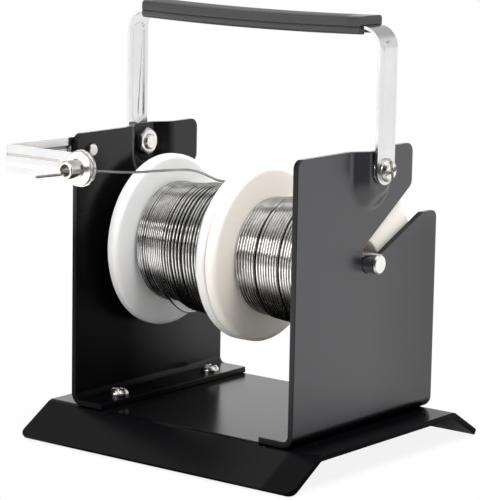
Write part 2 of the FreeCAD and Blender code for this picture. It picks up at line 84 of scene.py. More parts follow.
camera_data = bpy.data.cameras.new("camera")
camera_data.sensor_fit = "VERTICAL"
camera_data.sensor_height = film_height
camera_data.sensor_width = film_height
camera_data.lens = lens_pixels * film_height / picture_height
camera_data.clip_end = 20.0
camera = bpy.data.objects.new("camera", camera_data)
bpy.context.collection.objects.link(camera)
camera.matrix_world = Matrix((
    (camera_right.x, camera_up.x, -camera_ahead.x, camera_place.x),
    (camera_right.y, camera_up.y, -camera_ahead.y, camera_place.y),
    (camera_right.z, camera_up.z, -camera_ahead.z, camera_place.z),
    (0.0, 0.0, 0.0, 1.0),
))
bpy.context.scene.camera = camera
print("camera", [round(v, 3) for v in camera_place], "lens", round(camera_data.lens, 1), "mm")

# %% [markdown]
# ## Writing materials as sums
# A material is a tree of nodes. Long trees are hard to read as code, so a small class wraps one
# socket, and adding or multiplying two of them adds the Math node. Every other node comes from one
# method, which sets the node's settings first and then its inputs.

# %% Helpers for materials


class Value:
    """One socket of a material. Sums and products of sockets add Math nodes."""

    def __init__(self, finish, socket):
        self.finish = finish
        self.socket = socket

    def maths(self, operation, *values):
        return self.finish.node("ShaderNodeMath", {"operation": operation}, dict(enumerate(values)))

    def __add__(self, other):
        return self.maths("ADD", self, other)

    __radd__ = __add__

    def __mul__(self, other):
        return self.maths("MULTIPLY", self, other)

    __rmul__ = __mul__

    def __sub__(self, other):
        return self.maths("SUBTRACT", self, other)

    def __rsub__(self, other):
        return self.maths("SUBTRACT", other, self)

    def __truediv__(self, other):
        return self.maths("DIVIDE", self, other)

    def __pow__(self, other):
        return self.maths("POWER", self, other)

    def above(self, low, high):
        """0 below low, 1 above high and an even slope between."""
        settings = {"clamp": True}
        return self.finish.node("ShaderNodeMapRange", settings, {0: self, 1: low, 2: high})


class Finish:
    """A material and the tools to write it."""

    def __init__(self, name, holder=None):
        self.holder = holder or bpy.data.materials.new(name)
        self.holder.use_nodes = True
        self.tree = self.holder.node_tree
        self.tree.nodes.clear()

    def node(self, kind, settings=None, inputs=None, output=0):
        made = self.tree.nodes.new(kind)
        for name, value in (settings or {}).items():
            setattr(made, name, value)
        for place, value in (inputs or {}).items():
            self.plug(made.inputs[place], value)
        return Value(self, made.outputs[output])

    def plug(self, socket, value):
        if isinstance(value, Value):
            self.tree.links.new(value.socket, socket)
        elif isinstance(value, (tuple, list)) and socket.type == "RGBA" and len(value) == 3:
            socket.default_value = (*value, 1.0)
        else:
            socket.default_value = value

    def place(self, scale=(1.0, 1.0, 1.0)):
        """The piece's own coordinates in metres, stretched."""
        coordinates = self.node("ShaderNodeTexCoord", output="Object")
        return self.node("ShaderNodeMapping", {}, {"Vector": coordinates, "Scale": scale})

    def axes(self, output="Object"):
        """The x, y and z of a place, each on its own socket."""
        split = self.tree.nodes.new("ShaderNodeSeparateXYZ")
        self.plug(split.inputs[0], self.node("ShaderNodeTexCoord", output=output))
        return [Value(self, socket) for socket in split.outputs]

    def noise(self, vector, scale, detail=2.0, roughness=0.5):
        return self.node("ShaderNodeTexNoise", {}, {
            "Vector": vector, "Scale": scale, "Detail": detail, "Roughness": roughness})

    def blend(self, amount, first, second, how="MIX"):
        settings = {"data_type": "RGBA", "blend_type": how}
        return self.node("ShaderNodeMix", settings, {0: amount, 6: first, 7: second}, output=2)

    def bump(self, height, distance, strength=1.0):
        return self.node("ShaderNodeBump", {}, {"Height": height, "Distance": distance, "Strength": strength})

    def mix(self, share, first, second):
        """Two shaders: the second shows where the share is 1."""
        return self.node("ShaderNodeMixShader", {}, {0: share, 1: first, 2: second})

    def metal(self, colour, rough, relief):
        return self.done(self.surface(Base_Color=colour, Metallic=1.0, Roughness=rough, Normal=relief))

    def surface(self, **inputs):
        """The main shader; an underscore in a name stands for a space."""
        named = {name.replace("_", " "): value for name, value in inputs.items()}
        return self.node("ShaderNodeBsdfPrincipled", {}, named)

    def done(self, shader):
        out = self.tree.nodes.new("ShaderNodeOutputMaterial")
        self.tree.links.new(shader.socket, out.inputs["Surface"])
        return self.holder


# %% [markdown]
# ## Black powder coat
# Powder coat on sheet steel is black with a satin sheen and a fine orange-peel skin, which breaks up
# the light of the studio. A few specks of dust lie on it. Two noises make the skin: a fine one for the
# peel and a wide one that lets the gloss drift. The bump is only hundredths of a millimetre deep. Each
# sheet mixes two coats by place as painted light and shade: a duller, darker coat is painted shade
# where reflections should look dark, and a lighter, glossier coat on the right sheet's outer face is a
# painted sheen.

# %% Powder coat


def coat(finish, colours, gloss, roughness):
    """The shader of one coat, with its peel, drift and dust."""
    dark, light = colours
    place = finish.place()
    peel = finish.noise(place, 1500.0, 3.0, 0.55)
    drift = finish.noise(place, 22.0, 3.0, 0.6)
    spot = finish.node("ShaderNodeTexVoronoi", {"feature": "F1"}, {"Vector": place, "Scale": 160.0})
    speck = (1.0 - spot.above(0.03, 0.05)) * drift.above(0.52, 0.6)
    colour = finish.blend(speck * 0.25, finish.blend(drift, dark, light), (0.30, 0.30, 0.31))
    rough = roughness + drift * 0.07 + speck * 0.3
    relief = finish.bump(peel, 0.00004, 0.35)
    return finish.surface(Base_Color=colour, Roughness=rough, Normal=relief, Specular_IOR_Level=gloss)


def two_coats(name, share, first, second):
    """Two coats on one sheet: share(x, y, z), with places in metres, is 1 where the second shows."""
    finish = Finish(name)
    where = share(*finish.axes())
    return finish.done(finish.mix(where, coat(finish, *first), coat(finish, *second)))


def high_or_behind(x, y, z):
    """All but the lower front, where a duller, darker coat is painted shade."""
    return z.maths("MAXIMUM", z.above(0.080, 0.105), y.above(0.0, 0.045))


def outer_face(x, y, z):
    """The outer face, where a lighter, glossier coat is a painted sheen, with less of it low at the back as
    painted shade.
    """
    painted_shade_low_back = y.above(0.015, 0.055) * (1.0 - z.above(0.085, 0.10))
    return x.above(0.0556, 0.0558) * (1.0 - painted_shade_low_back * 0.38)


# The duller, darker coat is painted shade: it goes where the coat's reflections should look dark.
painted_shade_black = (0.0010, 0.0010, 0.0014), (0.0020, 0.0020, 0.0026)
deep_black = (0.0014, 0.0014, 0.0018), (0.0028, 0.0028, 0.0034)
plain_black = (0.0018, 0.0018, 0.0022), (0.0034, 0.0034, 0.0040)
# The lighter, glossier coat is a painted sheen on the right sheet's outer face.
painted_sheen_black = (0.0080, 0.0072, 0.0110), (0.0115, 0.0105, 0.0155)
# The base's coat is duller and darker beyond the right sheet, as painted shade.
base_coat = two_coats("powder_coat_base", lambda x, y, z: x.above(0.0538, 0.0558),
                      (deep_black, 0.12, 0.16), (painted_shade_black, 0.045, 0.20))
left_coat = two_coats("powder_coat_left", high_or_behind, (painted_shade_black, 0.04, 0.30), (deep_black, 0.34, 0.22))
right_coat = two_coats("powder_coat_right", outer_face, (plain_black, 0.20, 0.22), (painted_sheen_black, 0.85, 0.27))
print("made", base_coat.name, left_coat.name, right_coat.name)

# %% [markdown]
# ## Bright plated strip
# The handle strap and the guide arm are bent from bright plated strip. The plating mirrors the studio
# almost white. Rolling leaves faint lines along the strip, so a noise is stretched many times along
# one direction and only changes the roughness a little.

# %% Bright strip


def bright_strip(name, along, light, dull):
    finish = Finish(name)
    scale = tuple(0.06 if axis == along else 1.0 for axis in "xyz")
    lines = finish.noise(finish.place(scale), 2600.0, 2.0, 0.5)
    cloud = finish.noise(finish.place(), 55.0, 3.0, 0.55)
    colour = finish.blend(cloud, dull, light)
    rough = 0.10 + lines * 0.12 + cloud * 0.06
    relief = finish.bump(lines, 0.000004, 0.4)
    return finish.metal(colour, rough, relief)


strap_plating = bright_strip("strap_plating", "z", (0.78, 0.78, 0.785), (0.62, 0.62, 0.63))
arm_plating = bright_strip("arm_plating", "y", (0.81, 0.81, 0.815), (0.66, 0.66, 0.665))
print("made", strap_plating.name, arm_plating.name)

# %% [markdown]
# ## Nickel screws and nuts
# Screws, washers and nuts are nickel plated, a little warmer and duller than the strip. The recess
# and the edges collect a thin brown film, which a soft noise stands for.

# %% Nickel


def nickel(name, warm, roughness):
    finish = Finish(name)
    place = finish.place()
    film = finish.noise(place, 420.0, 4.0, 0.6)
    fine = finish.noise(place, 5200.0, 2.0, 0.5)
    colour = finish.blend(film.above(0.35, 0.75), (0.83, 0.82, 0.80), warm)
    rough = roughness + film * 0.14
    relief = finish.bump(fine, 0.000006, 0.35)
    return finish.metal(colour, rough, relief)


screw_nickel = nickel("screw_nickel", (0.70, 0.66, 0.60), 0.16)
rod_nickel = nickel("rod_nickel", (0.76, 0.75, 0.73), 0.14)
print("made", screw_nickel.name, rod_nickel.name)

# %% [markdown]
# ## Reel plastics
# The reels are moulded in a milky plastic. Light enters it and comes out a little further on, which
# is what the subsurface weight does. The left reel is a neutral white, the right one a warm cream.

# %% Reel plastics


def reel_plastic(name, light, dark):
    finish = Finish(name)
    place = finish.place()
    milk = finish.noise(place, 60.0, 3.0, 0.55)
    grain = finish.noise(place, 2400.0, 2.0, 0.5)
    colour = finish.blend(milk, dark, light)
    rough = 0.34 + milk * 0.12
    relief = finish.bump(grain, 0.00002, 0.35)
    return finish.done(finish.surface(
        Base_Color=colour, Roughness=rough, Normal=relief, Subsurface_Weight=0.25,
        Subsurface_Radius=(1.0, 0.85, 0.7), Subsurface_Scale=0.003))


white_plastic = reel_plastic("white_plastic", (0.82, 0.82, 0.82), (0.76, 0.76, 0.76))
cream_plastic = reel_plastic("cream_plastic", (0.91, 0.865, 0.81), (0.84, 0.785, 0.71))
print("made", white_plastic.name, cream_plastic.name)

# %% [markdown]
# ## Grip plastic
# The grip is a soft black moulding with a fine grain that scatters light from above.

# %% Grip plastic


def grip_plastic():
    finish = Finish("grip_plastic_black")
    place = finish.place()
    grain = finish.noise(place, 1900.0, 3.0, 0.6)
    worn = finish.noise(place, 40.0, 3.0, 0.6)
    colour = finish.blend(worn, (0.014, 0.014, 0.015), (0.034, 0.034, 0.037))
    rough = 0.34 + worn * 0.14
    relief = finish.bump(grain, 0.00008, 0.55)
    return finish.done(finish.surface(Base_Color=colour, Roughness=rough, Normal=relief))


grip_black = grip_plastic()
print("made", grip_black.name)

# %% [markdown]
# ## Solder
# Solder wire is drawn tin alloy: bright, with fine lines along the wire and dull patches where flux
# has dried on it.

# %% Solder


def solder(name, light, dull):
    finish = Finish(name)
    place = finish.place()
    patch = finish.noise(place, 260.0, 3.0, 0.6)
    fine = finish.noise(place, 3800.0, 2.0, 0.5)
    colour = finish.blend(patch.above(0.38, 0.7), light, dull)
    rough = 0.09 + patch * 0.10
    relief = finish.bump(fine, 0.000003, 0.25)
    return finish.metal(colour, rough, relief)


left_tin = solder("solder_tin_left", (0.56, 0.553, 0.545), (0.38, 0.375, 0.365))
right_tin = solder("solder_tin_right", (0.66, 0.652, 0.64), (0.45, 0.44, 0.43))
# The inner layer's tin is far darker than the outer turns: painted shade in the gaps between them.
painted_shade_inner_tin = solder("solder_tin_inner_painted_shade", (0.16, 0.158, 0.155), (0.07, 0.068, 0.066))
print("made", left_tin.name, right_tin.name, painted_shade_inner_tin.name)

# %% [markdown]
# ## The free end of the wire
# From the left winding the wire rises, bends forward over the reel and runs to the guide tube. It is
# stiff enough to hold its own bow. A cord is a smooth curve with a round bevel: its control points are
# the route's points, and the curve cuts a little inside each corner. The real wire bends when the guide
# arm swings. Here the curve is turned into a mesh tube.

# %% Solder lead
wire_d = 1.0
lead_places = [
    at(-3.47, 4.70, 102.95), at(-3.40, -1.17, 104.20), at(-6.3, -14.5, 105.25), at(-7.7, -22.7, 109.2),
    at(-8.8, -29.8, 111.6), at(-10.7, -42.0, 112.4), at(-13.6, -60.0, 112.9), at(-15.6, -72.0, 114.32),
    at(-17.45, -82.6, 115.42), at(-17.5, -97.0, 115.52), at(-17.5, -110.2, 116.02),
]


def wire_curve(name, places, diameter):
    data = bpy.data.curves.new(name, "CURVE")
    data.dimensions = "3D"
    data.bevel_depth = diameter / 2000.0
    data.bevel_resolution = 3
    data.resolution_u = 12
    data.use_fill_caps = True
    line = data.splines.new("NURBS")
    line.points.add(len(places) - 1)
    for point, place in zip(line.points, places):
        point.co = (*place, 1.0)
    line.order_u = 3
    line.use_endpoint_u = True
    wire = bpy.data.objects.new(name, data)
    bpy.context.collection.objects.link(wire)
    return wire


def centre_line(wire):
    """The points along the middle of the wire, read with its bevel off."""
    depth = wire.data.bevel_depth
    wire.data.bevel_depth = 0.0
    bpy.context.view_layer.update()
    thin = wire.evaluated_get(bpy.context.evaluated_depsgraph_get())
    line = bpy.data.meshes.new_from_object(thin)
    places = [tuple(vertex.co) for vertex in line.vertices]
    bpy.data.meshes.remove(line)
    wire.data.bevel_depth = depth
    bpy.context.view_layer.update()
    return places


lead = wire_curve("solder_free_end", lead_places, wire_d)
lead.data.materials.append(left_tin)
lead_line = centre_line(lead)
bpy.ops.object.select_all(action="DESELECT")
lead.select_set(True)
bpy.context.view_layer.objects.active = lead
bpy.ops.object.convert(target="MESH")
lead = bpy.context.view_layer.objects.active
bends_from, bends_to = at(-3.4, 0.0, 104.0), at(-16.5, -78.0, 115.0)
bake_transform(lead)
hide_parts("solder_lead")
print("lead points", len(lead_line), "vertices", len(lead.data.vertices))

# %% [markdown]
# ## Tools for shaping
# Every operator acts on what is selected, so each shape starts with nothing selected. The helpers
# below add an outline, pick parts by their place, and apply modifiers. An outline starts as a circle
# with as many points as the drawing has, and the points are then moved to their places.

# %% Selecting and applying


def start_fresh():
    if bpy.context.mode != "OBJECT":
        bpy.ops.object.mode_set(mode="OBJECT")
    bpy.ops.object.select_all(action="DESELECT")


def take(piece):
    """Makes the piece the only selected one."""
    start_fresh()
    piece.select_set(True)
    bpy.context.view_layer.objects.active = piece


def edit(piece):
    take(piece)
    bpy.ops.object.mode_set(mode="EDIT")
    bpy.ops.mesh.select_all(action="SELECT")


def leave_edit():
    bpy.ops.object.mode_set(mode="OBJECT")


def flip(piece):
    edit(piece)
    bpy.ops.mesh.flip_normals()
    leave_edit()


def slice_at(places, normal):
    """In edit mode, cuts the whole piece at each place, square to the normal."""
    for place in places:
        bpy.ops.mesh.select_all(action="SELECT")
        bpy.ops.mesh.bisect(plane_co=place, plane_no=normal)


def pick(kind, wanted):
    """In edit mode, selects only the vertices, edges or faces that are wanted."""
    bpy.ops.mesh.select_mode(type=kind)
    bpy.ops.mesh.select_all(action="DESELECT")
    form = bmesh.from_edit_mesh(bpy.context.object.data)
    parts = {"VERT": form.verts, "EDGE": form.edges, "FACE": form.faces}[kind]
    for part in parts:
        if wanted(part):
            part.select_set(True)
    bmesh.update_edit_mesh(bpy.context.object.data)


def apply(piece, kind, **settings):
    """Adds a modifier with its settings and applies it."""
    take(piece)
    modifier = piece.modifiers.new(kind.lower(), kind)
    for name, value in settings.items():
        setattr(modifier, name, value)
    bpy.ops.object.modifier_apply(modifier=modifier.name)


def shaded(piece, angle=35.0):
    take(piece)
    bpy.ops.object.shade_smooth_by_angle(angle=math.radians(angle))


def crisp(piece, width, segments=3, angle=32.0):
    """Rounds the sharp edges by width millimetres and keeps the flats flat."""
    apply(piece, "BEVEL", width=width / 1000.0, segments=segments, limit_method="ANGLE",
          angle_limit=math.radians(angle), use_clamp_overlap=True, miter_outer="MITER_ARC")
    shaded(piece)
    apply(piece, "WEIGHTED_NORMAL", keep_sharp=True, weight=60)


# %% Drawing outlines


def rounded_path(corners, steps=6):
    """Points (a, b) of a closed outline through corners (a, b, radius), each corner an arc."""
    points = []
    count = len(corners)
    for i in range(count):
        here = Vector(corners[i][:2])
        radius = corners[i][2]
        back = (Vector(corners[i - 1][:2]) - here).normalized()
        ahead = (Vector(corners[(i + 1) % count][:2]) - here).normalized()
        half = back.angle(ahead) / 2.0
        if radius < 1e-6 or abs(half - math.pi / 2.0) < 1e-4:
            points.append(here)
            continue
        reach = radius / math.tan(half)
        centre = here + (back + ahead).normalized() * (radius / math.sin(half))
        start = here + back * reach - centre
        sweep = start.angle_signed(here + ahead * reach - centre)
        for k in range(steps + 1):
            turn = -sweep * k / steps
            points.append(centre + Vector((
                start.x * math.cos(turn) - start.y * math.sin(turn),
                start.x * math.sin(turn) + start.y * math.cos(turn))))
    return points


def outline(name, places):
    """A closed line of edges: a circle whose points are moved to the places."""
    start_fresh()
    bpy.ops.mesh.primitive_circle_add(vertices=len(places), radius=0.01)
    piece = bpy.context.object
    piece.name = piece.data.name = name
    for vertex, place in zip(piece.data.vertices, places):
        vertex.co = place
    return piece


def flat_face(name, places, facing):
    """A flat face through the places, turned to the side that facing names."""
    piece = outline(name, places)
    edit(piece)
    bpy.ops.mesh.edge_face_add()
    leave_edit()
    if piece.data.polygons[0].normal.dot(Vector(facing)) < 0:
        flip(piece)
    return piece


def push(way):
    """Extrudes what is selected by way millimetres."""
    bpy.ops.mesh.extrude_region_move(TRANSFORM_OT_translate={"value": Vector(way) / 1000.0})


def bar(name, places, way):
    """A solid: the flat face through the places, pushed by way."""
    piece = outline(name, places)
    edit(piece)
    bpy.ops.mesh.edge_face_add()
    push(way)
    bpy.ops.mesh.select_all(action="SELECT")
    bpy.ops.mesh.normals_make_consistent(inside=False)
    leave_edit()
    return piece


def lathe(name, profile, centre, axis, steps=72):
    """A turned piece: the closed profile of (along, radius) points is spun about the axis."""
    along = Vector(axis)
    side = Vector((0, 0, 1)) if abs(along.z) < 0.5 else Vector((1, 0, 0))
    places = [centre + (along * a + side * r) / 1000.0 for a, r in profile]
    piece = outline(name, places)
    edit(piece)
    bpy.ops.mesh.spin(steps=steps, angle=2.0 * math.pi, center=centre, axis=along)
    bpy.ops.mesh.select_all(action="SELECT")
    bpy.ops.mesh.remove_doubles(threshold=0.000002)
    bpy.ops.mesh.dissolve_degenerate(threshold=0.000001)
    bpy.ops.mesh.normals_make_consistent(inside=False)
    leave_edit()
    return piece


def cut_out(piece, cutter):
    """Takes the cutter's form out of the piece."""
    apply(piece, "BOOLEAN", operation="DIFFERENCE", object=cutter, solver="EXACT")
    bpy.data.objects.remove(cutter, do_unlink=True)


def thicken(piece, thickness):
    """Gives a bent face its thickness in millimetres, on its back."""
    apply(piece, "SOLIDIFY", thickness=thickness / 1000.0, offset=-1.0, use_even_offset=True)


def cylinder(name, place, axis, radius, length, vertices=32):
    """A plain cylinder, used to cut holes."""
    start_fresh()
    bpy.ops.mesh.primitive_cylinder_add(vertices=vertices, radius=radius / 1000.0, depth=length / 1000.0)
    piece = bpy.context.object
    piece.name = name
    turn = Vector((0, 0, 1)).rotation_difference(Vector(axis)).to_matrix().to_4x4()
    piece.data.transform(Matrix.Translation(place) @ turn)
    return piece


def mirrored(piece, name):
    """The same piece on the other side of the stand, with its own mesh."""
    take(piece)
    bpy.ops.object.duplicate()
    other = bpy.context.object
    other.name = other.data.name = name
    other.data.transform(Matrix.Scale(-1.0, 4, Vector((1, 0, 0))))
    flip(other)
    return other


def fit(piece, body, slot, material, *nodes):
    """Gives the piece its material and body, and hides the CAD solids it stands for."""
    piece.data.materials.clear()
    piece.data.materials.append(material)
    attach(piece, body)
    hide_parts(*nodes)
    print(piece.name, sum(len(face.vertices) - 2 for face in piece.data.polygons), "triangles")


# %% [markdown]
# ## Base sheet
# The base is one sheet: a blank with rounded corners is cut flat, then its front and back ends are
# bent down to the table. The same order works here. The flat blank is cut across where it bends, and
# a rule then moves every point to its place on the bent sheet. Only then does it get its thickness.

# %% Base sheet
sheet = 2.5
sheet_bend = 2.5
deck_top = 12.7
deck_half_depth = 46.0
base_reach = 64.9
base_half_width = 68.5
flap_angle = math.radians(31.0)
base_corner = 4.0

top_bend = sheet_bend + sheet
bend_start = deck_half_depth - top_bend * math.tan(flap_angle / 2.0)
bend_length = top_bend * flap_angle
flap_run = (base_reach - deck_half_depth) / math.cos(flap_angle) - top_bend * math.tan(flap_angle / 2.0)
blank_end = bend_start + bend_length + flap_run


def bent_down(place):
    """Moves a point of the flat blank to its place on the bent sheet."""
    y = place.y * 1000.0 - sheets_middle_y
    side = math.copysign(1.0, y)
    past = abs(y) - bend_start
    if past <= 0:
        return place
    turn = min(past / top_bend, flap_angle)
    run = max(past - bend_length, 0.0)
    y = bend_start + top_bend * math.sin(turn) + run * math.cos(flap_angle)
    z = deck_top - top_bend * (1.0 - math.cos(turn)) - run * math.sin(flap_angle)
    return at(place.x * 1000.0, side * y, z)


blank = rounded_path([
    (-base_half_width, -blank_end, base_corner), (base_half_width, -blank_end, base_corner),
    (base_half_width, blank_end, base_corner), (-base_half_width, blank_end, base_corner)])
base = flat_face("base_sheet", [at(p.x, p.y, deck_top) for p in blank], (0, 0, 1))
edit(base)
slice_at([at(0, side * (bend_start + bend_length * step / 6.0), deck_top)
          for side in (-1, 1) for step in range(7)], (0, 1, 0))
leave_edit()
for vertex in base.data.vertices:
    vertex.co = bent_down(vertex.co)
thicken(base, sheet)
for vertex in base.data.vertices:
    vertex.co.z = max(vertex.co.z, 0.0)
crisp(base, 0.4)
fit(base, "stand", "powder_coat", base_coat, "base_plate")

# %% [markdown]
# ## Side sheets
# Each side is a sheet with an inward foot, a boss pressed outward around the handle screw, and a
# slanted slot through which the rod is lifted out. The flat outline has a notch where the boss is,
# and a second face fills the notch. Insetting that face and pushing it outward presses the boss.
# Then the foot is bent, and the sheet gets its thickness.

# %% Side sheet outline
sheet_inner = 53.4
sheet_outer = sheet_inner + sheet
half_depth = 47.0
pivot_z = 115.6
plate_top = pivot_z + 7.45
upper_back = 28.7
foot_width = 16.7
rod_z = 78.6
rod_r = 4.0
boss_height = 5.0
boss_half_width = 13.0
boss_slope_run = 6.6
boss_corner = 12.4
boss_bottom = pivot_z - 16.0
fold_radius = sheet_bend + sheet
fold_start = deck_top + fold_radius
fold_length = fold_radius * math.pi / 2.0
blank_bottom = fold_start - fold_length - (foot_width - fold_radius)
foot_x = sheet_outer - 10.4
foot_y = 29.5
arm_pivot_y = -38.6
arm_z = 116.0
foot_hole_r, guide_hole_r, screw_hole_r = 2.05, 2.55, 3.05

seat_r = rod_r + 0.1
seat_angle = math.radians(46.0)
slot_end = -seat_r
upper_slope = math.tan(math.radians(33.8))
lower_slope = math.tan(math.radians(24.7))
slot_end_z = rod_z + 5.87
mouth_z = slot_end_z + upper_slope * (upper_back - slot_end)
wall_y = seat_r * math.sin(seat_angle)
wall_z = rod_z - seat_r * math.cos(seat_angle)
lip_z = rod_z + 2.17
lip_y = wall_y + (lip_z - wall_z) / math.tan(seat_angle)
horn_front = half_depth - 10.0
horn_top = lip_z + lower_slope * (horn_front - lip_y)
seat_bottom = wall_z - (wall_y - slot_end) * math.tan(seat_angle)


def press_notch(steps=16):
    """The boss outline from its back top corner round to its front top corner."""
    path = rounded_path([
        (boss_half_width, plate_top, 0), (boss_half_width, boss_bottom, boss_corner),
        (-boss_half_width, boss_bottom, boss_corner), (-boss_half_width, plate_top, 0)], steps)
    return [at(sheet_outer, p.x, p.y) for p in path]


def side_outline():
    plate_corner = 3.5
    corners = [
        (-half_depth, plate_top, plate_corner), (-half_depth, blank_bottom, 1.0),
        (half_depth, blank_bottom, 1.0), (half_depth, horn_top, 3.0),
        (horn_front, horn_top, 5.0), (lip_y, lip_z, 1.0), (slot_end, seat_bottom, seat_r),
        (slot_end, slot_end_z, 5.0), (upper_back, mouth_z, 4.0), (upper_back, plate_top, plate_corner)]
    return [at(sheet_outer, p.x, p.y) for p in rounded_path(corners, 8)]


def folded(place):
    """Moves a point of the flat blank onto the bent foot."""
    past = fold_start - place.z * 1000.0
    if past <= 0:
        return place
    turn = min(past / fold_radius, math.pi / 2.0)
    run = max(past - fold_length, 0.0)
    x = sheet_outer - fold_radius * (1.0 - math.cos(turn)) - run
    z = fold_start - fold_radius * math.sin(turn)
    return Vector((x / 1000.0, place.y, z / 1000.0))


print("slot mouth", round(mouth_z, 2), "horn top", round(horn_top, 2), "mm")

# %% Side sheets
right_side = flat_face("right_side_sheet", side_outline() + press_notch(), (1, 0, 0))
boss_face = flat_face("boss_face", press_notch(), (1, 0, 0))
take(right_side)
boss_face.select_set(True)
bpy.ops.object.join()
edit(right_side)
bpy.ops.mesh.remove_doubles(threshold=0.000001)
boss_middle = at(sheet_outer, 0, boss_bottom)
pick("FACE", lambda face: face.calc_center_median().z > boss_middle.z and
     abs(face.calc_center_median().y - boss_middle.y) < 0.005)
bpy.ops.mesh.inset(thickness=boss_slope_run / 1000.0, depth=boss_height / 1000.0, use_boundary=False,
                   use_even_offset=True)
bpy.ops.mesh.select_all(action="DESELECT")
bpy.ops.mesh.select_mode(type="EDGE")
bpy.ops.mesh.edges_select_sharp(sharpness=math.radians(30.0))
bpy.ops.mesh.bevel(offset=0.0012, segments=4, affect="EDGES", clamp_overlap=True)
slice_at([at(sheet_outer, 0, fold_start - fold_length * step / 6.0) for step in range(7)], (0, 0, 1))
leave_edit()
for vertex in right_side.data.vertices:
    vertex.co = folded(vertex.co)
    vertex.co.z = min(vertex.co.z, plate_top / 1000.0)
thicken(right_side, sheet)
for y in (-foot_y, foot_y):
    cut_out(right_side, cylinder("foot_hole", at(foot_x, y, deck_top), (0, 0, 1), foot_hole_r, 12.0))
cut_out(right_side, cylinder("screw_hole", at(sheet_outer, 0, pivot_z), (1, 0, 0), screw_hole_r, 30.0))
left_side = mirrored(right_side, "left_side_sheet")
guide_hole = cylinder("guide_hole", at(-sheet_outer, arm_pivot_y, arm_z), (1, 0, 0), guide_hole_r, 12.0)
cut_out(left_side, guide_hole)
for piece, node, coat in (
        (right_side, "right_side_plate", right_coat), (left_side, "left_side_plate", left_coat)):
    crisp(piece, 0.45)
    fit(piece, "stand", "powder_coat", coat, node)

# %% [markdown]
# ## Reels
# A reel is two flanges on a hub, with a bore for the rod and a wider pocket at each end. It is a
# turned form, so its half profile is drawn once and spun. The rims are rounded where the real ones
# leave the mould.

# %% Reels
reel_r = 35.4
reel_length = 50.0
flange = 5.0
hub_r = 14.0
bore_r = 6.6
pocket_r = 11.3
pocket_depth = 7.0
running, side_gap, reel_gap = 0.05, 0.8, 0.3
reel_z = rod_z + rod_r + running - bore_r
right_reel_x = sheet_inner - side_gap - reel_length
left_reel_x = right_reel_x - reel_gap - reel_length


def reel(name, x0):
    half = [(pocket_depth, bore_r, 0.4), (pocket_depth, pocket_r, 0.8), (0, pocket_r, 0.5), (0, reel_r, 1.0),
            (flange, reel_r, 2.2), (flange, hub_r, 1.0)]
    corners = half + [(reel_length - along, radius, corner) for along, radius, corner in reversed(half)]
    profile = [(x0 + p.x, p.y) for p in rounded_path(corners, 5)]
    piece = lathe(name, profile, at(0, 0, reel_z), (1, 0, 0), 128)
    shaded(piece, 30.0)
    return piece


left_moulding = reel("left_reel_moulding", left_reel_x)
fit(left_moulding, "left_reel", "white_plastic", white_plastic, "left_spool")
right_moulding = reel("right_reel_moulding", right_reel_x)
fit(right_moulding, "right_reel", "cream_plastic", cream_plastic, "right_spool")

# %% [markdown]
# ## Windings
# Wire on a reel lies turn beside turn. The screw modifier sweeps a small circle round the reel's
# axis and along it, which gives even turns. Real turns are not quite even, so every ring of points is
# then moved a little along the reel and outward by smooth waves, and where turns are slack they
# spread. An inner layer closes the gaps between the outer turns. Its tin is painted very dark, as
# painted shade in the gaps.

# %% Winding tool
turn_steps = 96
wire_sides = 8
under_sides = 6
sweep_r = 0.020
sweep_pitch = 0.001


def swept_turns(name, count, wire, sides):
    """Even turns about the reel's axis, starting at the top at x = 0, not yet in their places."""
    start_fresh()
    bpy.ops.mesh.primitive_circle_add(vertices=sides, radius=wire / 2000.0, rotation=(math.pi / 2.0, 0, 0))
    piece = bpy.context.object
    piece.name = piece.data.name = name
    bpy.ops.object.transform_apply(location=False, rotation=True, scale=False)
    piece.data.transform(Matrix.Translation((0, 0, sweep_r)))
    apply(piece, "SCREW", axis="X", angle=2.0 * math.pi, screw_offset=sweep_pitch, iterations=count,
          steps=turn_steps, render_steps=turn_steps, use_normal_calculate=True)
    return piece


def lay_turns(piece, sides, rule):
    """Moves ring after ring of points: rule(turn) gives (x, radius, angle) of the wire's middle."""
    points = [vertex.co.copy() for vertex in piece.data.vertices]
    rings = len(points) // sides
    for ring in range(rings):
        own = points[ring * sides:(ring + 1) * sides]
        middle = sum(own, Vector()) / sides
        x, radius, angle = rule(ring / turn_steps)
        start = math.atan2(middle.y, middle.z)
        turn = Matrix.Rotation(-(angle - start), 3, "X")
        out = Vector((0, math.sin(angle), math.cos(angle)))
        target = Vector((x, 0, 0)) / 1000.0 + out * radius / 1000.0 + at(0, 0, reel_z)
        for k, point in enumerate(own):
            piece.data.vertices[ring * sides + k].co = target + turn @ (point - middle)


def closed_ends(piece):
    """Closes the two open ends of the wire."""
    edit(piece)
    bpy.ops.mesh.select_all(action="DESELECT")
    bpy.ops.mesh.select_mode(type="EDGE")
    bpy.ops.mesh.select_non_manifold()
    bpy.ops.mesh.edge_face_add()
    bpy.ops.mesh.select_all(action="SELECT")
    bpy.ops.mesh.normals_make_consistent(inside=False)
    leave_edit()
    take(piece)
    bpy.ops.object.shade_smooth()


def wound(name, count, wire, rule, sides=wire_sides):
    """A winding of so many turns that lie as the rule says."""
    piece = swept_turns(name, count, wire, sides)
    lay_turns(piece, sides, rule)
    closed_ends(piece)
    return piece


print("one turn has", turn_steps, "rings of", wire_sides, "points")

# %% Left winding
left_from = left_reel_x + flange
left_to = left_reel_x + reel_length - flange
left_small, left_large = 23.7, 28.0
right_small, right_large = 23.4, 27.8
slack_turns, slack_pitch, dense_pitch = 13, 1.85, 1.05


def taper(x, x0, small, large):
    return small + (large - small) * (x - x0 - flange) / (reel_length - 2.0 * flange)


